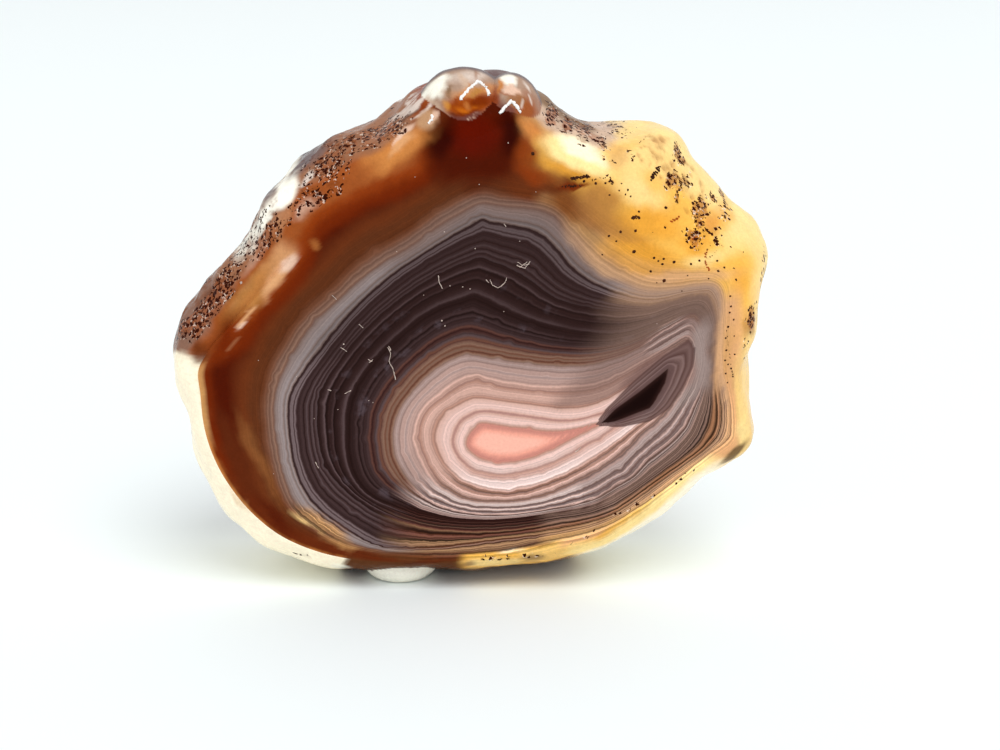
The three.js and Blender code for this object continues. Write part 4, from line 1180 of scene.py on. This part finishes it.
def make_stone_material(name, stain, gloss, peel, ior, specular):
    material = bpy.data.materials.new(name)
    material.use_nodes = True
    tree = material.node_tree
    tree.nodes.clear()
    coordinates = add(tree, "ShaderNodeTexCoord").outputs["Object"]
    place = add(tree, "ShaderNodeMapping", {"Vector": coordinates, "Scale": (1 / MM,) * 3}).outputs[0]
    density = painted(tree, "pitted")
    polish = placed(tree, polish_group, {
        "Place": place, "Gloss": gloss, "Peel": peel, "Peel Size": 1.4,
        "Color": painted(tree, stain, "Color"),
        "Mottle": math_node(tree, "MULTIPLY_ADD", density, 0.22, 0.07)})
    pits = placed(tree, pit_group, {
        "Place": place, "Density": density, "Size": PIT_SIZE, "Shift": PIT_LIP_SHIFT})
    colour = banded_colour(tree, place, polish["Color"])
    dimple = painted(tree, "pit")
    for mask, (tint, strength) in ((pits["Ground"], GROUND), (pits["Lip"], LIP_GLINT), (dimple, DIMPLE),
                                   (pits["Hole"], HOLE)):
        colour = mix_colour(tree, product(tree, mask, strength), colour, rgba(tint))
    # Painted glow: emission stands in for light that comes through the thin pale rim.
    glowing = mix_colour(tree, painted(tree, "glow"), (0.0, 0.0, 0.0, 1.0), colour)
    height = math_node(tree, "ADD", polish["Height"], pits["Height"])
    bump = add(tree, "ShaderNodeBump", {"Height": height, "Distance": BUMP_DISTANCE * MM, "Strength": 1.0})
    shader = add(tree, "ShaderNodeBsdfPrincipled", {
        "Base Color": colour, "Roughness": polish["Roughness"], "Normal": bump.outputs[0], "IOR": ior,
        "Specular IOR Level": specular, "Emission Color": glowing, "Emission Strength": 1.0,
    })
    output = add(tree, "ShaderNodeOutputMaterial")
    tree.links.new(shader.outputs[0], output.inputs["Surface"])
    return material


polished_face = make_stone_material(
    "polished_face", "face_stain", gloss=0.05, peel=0.0, ior=1.54, specular=0.02)
tumbled_skin = make_stone_material(
    "tumbled_skin", "skin_stain", gloss=0.16, peel=0.6, ior=1.2, specular=0.08)
stone.data.materials.append(polished_face)
stone.data.materials.append(tumbled_skin)
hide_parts(STONE_NODE)
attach(stone, "root")
print("Finishes:", [m.name for m in stone.data.materials])

# %% [markdown]
# ## Grains, painted glints and lint
#
# Small things lie on the stone: dark mineral grains in the amber, white threads along the top knob that are
# painted highlights, and lint that the wiped face has caught. All are many copies of one small form, so two
# Geometry Nodes trees make them: one puts a rough grain on each point, the other sweeps a thin round section
# along each path.

# %% Where the grains, painted glints and lint are
# Grains: x, z and the radius, all in mm.
GRAINS = [
    (13.3, 35.7, 0.1), (14.4, 36.1, 0.12), (15.8, 36.2, 0.12), (15.7, 34.2, 0.15), (17.6, 33.6, 0.11),
    (18.0, 33.3, 0.1), (18.5, 33.5, 0.12), (18.4, 33.0, 0.1), (19.5, 33.2, 0.13), (21.1, 33.0, 0.11),
    (21.9, 33.3, 0.11), (23.6, 33.2, 0.12), (23.7, 32.3, 0.12), (24.3, 32.6, 0.1), (25.2, 32.4, 0.14),
    (25.0, 34.2, 0.13), (26.3, 33.6, 0.1), (17.3, 32.3, 0.12), (18.6, 31.4, 0.15), (25.4, 31.4, 0.13),
    (18.6, 36.4, 0.12), (17.4, 36.0, 0.08), (16.1, 38.0, 0.1), (18.7, 38.2, 0.12), (13.3, 39.6, 0.08),
    (14.4, 40.6, 0.1), (15.0, 40.0, 0.12), (14.8, 39.6, 0.1), (15.3, 39.4, 0.1), (14.2, 40.0, 0.08),
    (20.8, 31.9, 0.07), (22.8, 31.6, 0.08), (17.9, 31.2, 0.07), (20.3, 30.4, 0.06), (12.7, 33.9, 0.07),
    (10.9, 40.9, 0.12), (12.0, 40.7, 0.12), (12.9, 40.7, 0.1), (6.1, 43.5, 0.16), (14.0, 35.2, 0.1),
    (24.9, 29.9, 0.1), (25.0, 28.9, 0.11), (24.9, 28.3, 0.09), (25.3, 27.6, 0.1), (24.8, 26.9, 0.1),
    (24.6, 25.8, 0.08), (25.4, 26.0, 0.08), (24.7, 24.6, 0.09), (25.5, 24.2, 0.09), (24.6, 23.6, 0.1),
    (24.9, 23.2, 0.09), (25.2, 22.8, 0.1), (24.7, 22.3, 0.09), (25.4, 22.0, 0.08), (24.9, 21.4, 0.08),
]
# Streaks of grains: the ends x, z, x, z, how many, and the radius.
STREAKS = [
    (9.6, 41.1, 11.4, 41.4, 60, 0.15), (8.8, 40.4, 10.8, 40.5, 30, 0.11),
    (13.0, 41.6, 13.6, 40.6, 26, 0.14), (17.3, 40.9, 18.2, 41.8, 40, 0.2),
    (15.5, 37.4, 16.2, 37.5, 18, 0.16), (11.6, 41.0, 12.9, 41.2, 10, 0.09),
    (24.6, 26.8, 25.4, 22.0, 26, 0.07), (23.6, 34.1, 22.6, 33.4, 6, 0.08),
    (13.2, 42.6, 14.4, 42.4, 16, 0.07), (16.2, 43.8, 17.0, 44.2, 14, 0.07),
    (20.2, 36.0, 20.9, 36.4, 16, 0.09),
]
RUST_STREAKS = [
    (22.8, 34.3, 22.5, 33.9, 14, 0.09), (22.5, 33.9, 22.5, 33.0, 26, 0.09),
    (22.5, 33.0, 22.9, 32.3, 20, 0.09), (19.2, 36.9, 19.9, 37.2, 12, 0.14),
    (21.2, 35.2, 21.8, 35.5, 12, 0.12),
]
# Painted glints on the knob, and lint: x and z of each point of a path.
KNOB_GLINTS = [
    ((-0.7, 48.5), (0.15, 49.35), (1.0, 50.0)), ((1.0, 50.0), (1.75, 49.4), (2.0, 48.7)),
    ((3.0, 47.2), (3.5, 47.75), (4.1, 48.35)), ((4.1, 48.35), (4.6, 47.8), (5.0, 47.2)),
    ((-3.6, 46.3), (-3.2, 46.6), (-3.3, 47.0)), ((5.3, 49.4), (5.7, 48.7)),
]
LINT = [
    ((-2.8, 31.9), (-2.75, 31.3), (-2.4, 30.6)),
    ((2.1, 31.5), (2.3, 31.0), (2.9, 30.7), (3.5, 31.2), (3.7, 31.7)),
    ((-7.7, 24.9), (-7.4, 24.3), (-7.6, 23.5), (-7.2, 22.7), (-7.0, 21.7)), ((-12.9, 30.0), (-12.5, 29.6)),
    ((4.7, 33.2), (5.2, 32.9), (5.8, 33.0)), ((4.9, 32.7), (5.6, 33.2)),
    ((4.6, 32.9), (5.4, 32.6), (5.9, 33.3)), ((-12.2, 24.9), (-11.6, 24.5)), ((-10.4, 27.2), (-10.0, 26.8)),
    ((1.7, 31.5), (2.0, 31.2)), ((-9.6, 23.7), (-9.2, 23.5)), ((-9.5, 23.4), (-9.1, 23.7)),
    ((-11.9, 20.3), (-11.3, 20.6)), ((-13.5, 20.7), (-13.2, 20.6)), ((-7.6, 25.0), (-7.4, 24.6)),
    ((10.3, 14.4), (10.9, 14.9)), ((-14.9, 13.4), (-14.6, 12.8)), ((3.4, 36.9), (3.6, 36.6)),
]
FLECKS = [
    (0.7, 34.5, 0.05), (-2.2, 36.1, 0.05), (4.9, 35.2, 0.04), (-2.5, 27.5, 0.07), (-2.2, 27.0, 0.06),
    (3.4, 28.4, 0.05), (-0.5, 30.8, 0.06), (0.2, 30.6, 0.05), (-1.7, 30.9, 0.05), (8.1, 21.0, 0.04),
    (-9.2, 19.4, 0.04), (-4.2, 17.3, 0.04), (12.1, 9.7, 0.04), (-16.5, 22.0, 0.04), (18.0, 27.2, 0.04),
    (-6.7, 34.2, 0.04), (-20.1, 23.6, 0.05), (1.1, 40.6, 0.05), (6.4, 39.9, 0.04), (-21.6, 31.0, 0.12),
    (-0.1, 43.1, 0.05), (3.8, 44.5, 0.06), (-4.9, 41.3, 0.04), (-12.6, 18.7, 0.04), (-9.6, 19.6, 0.04),
    (-3.3, 20.0, 0.05), (-11.9, 25.2, 0.06), (-4.2, 30.0, 0.05), (-19.0, 12.2, 0.04), (-14.9, 17.8, 0.04),
]


def on_stone(x, z, proud=0.0):
    """The point of the front of the stone at x and z, a little proud of it."""
    front = np.flatnonzero(DEPTHS["across"] < 1)
    nearest = front[np.argmin((points[front, 0] - x) ** 2 + (points[front, 2] - z) ** 2)]
    return (x, points[nearest, 1] - proud, z)


STREAK_SPREAD = 0.45  # of a streak's radius
SMALLEST, SIZE_RANGE = 0.35, 0.4  # sizes of its grains, as shares of that radius
GRAIN_SEED = 41


def streak(rng, x0, z0, x1, z1, count, radius):
    """Grains scattered along a line."""
    along, off = rng.random(count), rng.normal(0, radius * STREAK_SPREAD, (count, 2))
    return [(x0 + (x1 - x0) * t + dx, z0 + (z1 - z0) * t + dz,
             radius * (SMALLEST + rng.random() * SIZE_RANGE)) for t, (dx, dz) in zip(along, off)]


rng = np.random.default_rng(GRAIN_SEED)
dark_grains = GRAINS + [grain for row in STREAKS for grain in streak(rng, *row)]
rust_grains = [grain for row in RUST_STREAKS for grain in streak(rng, *row)]
print("Grains:", len(dark_grains), "dark,", len(rust_grains), "rusty; paths:", len(KNOB_GLINTS) + len(LINT))


# %% Two trees: grains on points, and threads along paths
GRAIN_DENTS = 1.6  # the whole range of its dents, in radii
GRAIN_WIDTHS, THREAD_WIDTHS = (0.7, 1.3), (0.55, 1.25)  # from thinnest to widest, around 1
GRAIN_TURNS = (0.0, 6.28)  # radians
THREAD_SIDES = 6


def geometry_tree(name, inputs):
    """A Geometry Nodes tree with one geometry in and out and the named inputs."""
    tree = bpy.data.node_groups.new(name, "GeometryNodeTree")
    tree.is_modifier = True
    tree.interface.new_socket("Geometry", in_out="INPUT", socket_type="NodeSocketGeometry")
    sockets = {}
    for label, kind in inputs:
        socket = tree.interface.new_socket(label, in_out="INPUT", socket_type="NodeSocket" + kind)
        sockets[label] = socket.identifier
    tree.interface.new_socket("Geometry", in_out="OUTPUT", socket_type="NodeSocketGeometry")
    return tree, tree.nodes.new("NodeGroupInput").outputs, tree.nodes.new("NodeGroupOutput"), sockets


def link_end(tree, geometry, given, out):
    """Realize Instances and Set Material, which every tree ends in."""
    real = add(tree, "GeometryNodeRealizeInstances", {"Geometry": geometry})
    values = {"Geometry": real.outputs[0], "Material": given["Material"]}
    hand_out(tree, out, {"Geometry": add(tree, "GeometryNodeSetMaterial", values).outputs[0]})


def random_value(tree, low, high, seed):
    """A random number for each point. On this node the limits of a float are sockets 2 and 3."""
    return add(tree, "FunctionNodeRandomValue", {2: low, 3: high, "Seed": seed}, data_type="FLOAT").outputs[1]


def make_grain_tree():
    tree, given, out, sockets = geometry_tree("grains on points", [
        ("Flatness", "Float"), ("Seed", "Int"), ("Material", "Material")])
    grain = add(tree, "GeometryNodeMeshIcoSphere", {"Radius": 1.0, "Subdivisions": 2})
    rough = add(tree, "ShaderNodeTexNoise", {"Scale": 1.6, "Detail": 2.0})
    dents = shake(tree, rough.outputs["Color"], GRAIN_DENTS)
    lump = add(tree, "GeometryNodeSetPosition", {"Geometry": grain.outputs[0], "Offset": dents})
    size = add(tree, "GeometryNodeInputNamedAttribute", {"Name": "size"}, data_type="FLOAT").outputs[0]
    wide = product(tree, size, random_value(tree, *GRAIN_WIDTHS, given["Seed"]))
    scale = add(tree, "ShaderNodeCombineXYZ", {0: wide, 1: product(tree, size, given["Flatness"]), 2: size})
    turn = add(tree, "ShaderNodeCombineXYZ", {1: random_value(tree, *GRAIN_TURNS, given["Seed"])})
    rotation = add(tree, "FunctionNodeEulerToRotation", {"Euler": turn.outputs[0]})
    copies = add(tree, "GeometryNodeInstanceOnPoints", {
        "Points": given["Geometry"], "Instance": lump.outputs[0], "Rotation": rotation.outputs[0],
        "Scale": scale.outputs[0]})
    link_end(tree, copies.outputs[0], given, out)
    return tree, sockets


def make_thread_tree():
    tree, given, out, sockets = geometry_tree("threads along paths", [
        ("Radius", "Float"), ("Step", "Float"), ("Stray", "Float"), ("Seed", "Int"),
        ("Material", "Material")])
    curve = add(tree, "GeometryNodeMeshToCurve", {"Mesh": given["Geometry"]})
    fine = add(tree, "GeometryNodeResampleCurve", {"Curve": curve.outputs[0], "Length": given["Step"]},
               mode="LENGTH")
    stray, seed = given["Stray"], given["Seed"]
    back = product(tree, stray, -1.0)
    other_seed = math_node(tree, "ADD", seed, 7.0)
    aside = add(tree, "ShaderNodeCombineXYZ", {0: random_value(tree, back, stray, seed),
                                               2: random_value(tree, back, stray, other_seed)})
    moved = add(tree, "GeometryNodeSetPosition", {"Geometry": fine.outputs[0], "Offset": aside.outputs[0]})
    section = add(tree, "GeometryNodeCurvePrimitiveCircle", {"Resolution": THREAD_SIDES, "Radius": 1.0})
    uneven = product(tree, given["Radius"], random_value(tree, *THREAD_WIDTHS, seed))
    tube = add(tree, "GeometryNodeCurveToMesh", {
        "Curve": moved.outputs[0], "Profile Curve": section.outputs[0], "Scale": uneven, "Fill Caps": True})
    link_end(tree, tube.outputs[0], given, out)
    return tree, sockets


grain_tree, thread_tree = make_grain_tree(), make_thread_tree()
print("Trees:", grain_tree[0].name, "and", thread_tree[0].name)


# %% Finishes of the small things
MATT = 0.1  # how much a matt finish mirrors, grains and table alike


def make_plain_finish(name, colour, spread, roughness):
    """A matt finish whose tone wanders a little from place to place."""
    material = bpy.data.materials.new(name)
    material.use_nodes = True
    tree = material.node_tree
    coordinates = add(tree, "ShaderNodeTexCoord").outputs["Object"]
    tone = noise_value(tree, coordinates, scale=4.0 / MM, detail=3.0)
    darker = linear(colour) * (1 - spread)
    shade = mix_colour(tree, ease(tree, tone, 0.35, 0.65), (*darker, 1.0), rgba(colour))
    shader = tree.nodes["Principled BSDF"]
    tree.links.new(shade, shader.inputs["Base Color"])
    shader.inputs["Roughness"].default_value = roughness
    shader.inputs["Specular IOR Level"].default_value = MATT
    return material


dark_grain = make_plain_finish("dark_grain", (74, 34, 12), spread=0.7, roughness=0.6)
rust_grain = make_plain_finish("rust_grain", (176, 78, 18), spread=0.4, roughness=0.6)
# The white threads on the knob are painted highlights.
chalk_scar = make_plain_finish("chalk_scar", (255, 253, 250), spread=0.1, roughness=0.8)
pale_lint = make_plain_finish("pale_lint", (214, 192, 180), spread=0.3, roughness=0.9)
print("Finishes:", dark_grain.name, rust_grain.name, chalk_scar.name, pale_lint.name)


# %% Make the small things
THREAD_STEP = 0.12  # mm between the points of a thread
SHAPE_SEED, THREAD_SEED = 3, 5


def grown(name, verts, edges, sizes, tree, sockets, settings):
    """Runs a tree on points or paths and keeps the result as a plain mesh piece."""
    seeds = bpy.data.meshes.new(name + "_seeds")
    seeds.from_pydata((np.array(verts) * MM).tolist(), edges, [])
    if sizes:
        data = seeds.attributes.new("size", "FLOAT", "POINT").data
        data.foreach_set("value", np.array(sizes, np.float32) * MM)
    carrier = bpy.data.objects.new(name + "_seeds", seeds)
    bpy.context.scene.collection.objects.link(carrier)
    modifier = carrier.modifiers.new("grow", "NODES")
    modifier.node_group = tree
    for label, value in settings.items():
        modifier[sockets[label]] = value
    evaluated = carrier.evaluated_get(bpy.context.evaluated_depsgraph_get())
    result = bpy.data.meshes.new_from_object(evaluated)
    carrier.modifiers.clear()
    bpy.data.objects.remove(carrier)
    result.name = name
    piece = bpy.data.objects.new(name, result)
    bpy.context.scene.collection.objects.link(piece)
    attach(piece, "root")
    print(name, len(result.polygons), "faces")


def make_grains(name, grains, material, flatness):
    grown(name, [on_stone(x, z) for x, z, _ in grains], [], [size for *_, size in grains], *grain_tree,
          {"Flatness": flatness, "Seed": SHAPE_SEED, "Material": material})


def make_threads(name, paths, material, proud, radius, stray):
    """Threads along paths of points. The last three numbers are in mm."""
    verts, edges = [], []
    for path in paths:
        edges += [(len(verts) + i, len(verts) + i + 1) for i in range(len(path) - 1)]
        verts += [on_stone(x, z, proud) for x, z in path]
    grown(name, verts, edges, None, *thread_tree, {
        "Radius": radius * MM, "Step": THREAD_STEP * MM, "Stray": stray * MM, "Seed": THREAD_SEED,
        "Material": material})


make_grains("dark_grains", dark_grains, dark_grain, flatness=0.4)
make_grains("rust_grains", rust_grains, rust_grain, flatness=0.5)
make_grains("pale_flecks", FLECKS, pale_lint, flatness=0.6)
# Painted highlights: white threads along the ridges of the knob.
make_threads("chalk_scars", KNOB_GLINTS, chalk_scar, proud=0.02, radius=0.16, stray=0.07)
make_threads("lint_threads", LINT, pale_lint, proud=0.03, radius=0.04, stray=0.025)

# %% [markdown]
# ## The stage
#
# The stone stands on a white table in a white room, so its colours read as they are. A large lamp above
# leaves a soft shadow under the rim and draws the highlights along the skin.

# %% Floor, light and camera
TABLE_HALF = 1.2  # in metres, as is the lamp
TABLE_COLOUR = (0.9, 0.96, 0.97, 1)
LAMP_PLACE, LAMP_TARGET, LAMP_SIZE, LAMP_WATTS = (0.8, -1.45, 2.8), (0, 0, 0.02), 2.2, 48.0
ROOM_STRENGTH = 0.78
CAMERA_TARGET, CAMERA_DISTANCE = (3.04, 0.0, 20.14), 194.4  # in millimetres
CAMERA_PITCH = math.radians(15)
FOCAL_LENGTH, SENSOR_WIDTH = 70.0, 36.0


def make_floor():
    floor_mesh = bpy.data.meshes.new("table_top")
    corners = [(x * TABLE_HALF, y * TABLE_HALF, 0) for x, y in ((-1, -1), (1, -1), (1, 1), (-1, 1))]
    floor_mesh.from_pydata(corners, [], [(0, 1, 2, 3)])
    floor = bpy.data.objects.new("table_top", floor_mesh)
    bpy.context.scene.collection.objects.link(floor)
    white = bpy.data.materials.new("white_table")
    white.use_nodes = True
    shader = white.node_tree.nodes["Principled BSDF"]
    shader.inputs["Base Color"].default_value = TABLE_COLOUR
    shader.inputs["Roughness"].default_value = 0.6
    shader.inputs["Specular IOR Level"].default_value = MATT
    floor_mesh.materials.append(white)


def make_lamp():
    lamp = bpy.data.lights.new("overhead", "AREA")
    lamp.shape, lamp.size, lamp.energy = "DISK", LAMP_SIZE, LAMP_WATTS
    stand = bpy.data.objects.new("overhead", lamp)
    stand.location = LAMP_PLACE
    stand.rotation_euler = (Vector(LAMP_TARGET) - Vector(LAMP_PLACE)).to_track_quat("-Z", "Y").to_euler()
    bpy.context.scene.collection.objects.link(stand)


def make_camera():
    lens = bpy.data.cameras.new("camera")
    lens.lens, lens.sensor_width = FOCAL_LENGTH, SENSOR_WIDTH
    lens.clip_start = 0.01
    camera = bpy.data.objects.new("camera", lens)
    away = Vector((0, -math.cos(CAMERA_PITCH), math.sin(CAMERA_PITCH)))
    camera.location = (Vector(CAMERA_TARGET) + away * CAMERA_DISTANCE) * MM
    camera.rotation_euler = (math.pi / 2 - CAMERA_PITCH, 0, 0)
    bpy.context.scene.collection.objects.link(camera)
    bpy.context.scene.camera = camera


def make_room():
    world = bpy.data.worlds.new("white_room")
    world.use_nodes = True
    background = world.node_tree.nodes["Background"]
    background.inputs[0].default_value = (1.0, 1.0, 1.0, 1)
    background.inputs[1].default_value = ROOM_STRENGTH
    bpy.context.scene.world = world


make_floor()
make_lamp()
make_camera()
make_room()
bpy.context.scene.view_settings.view_transform = "Standard"
print("Camera at", [round(v, 3) for v in bpy.context.scene.camera.location])
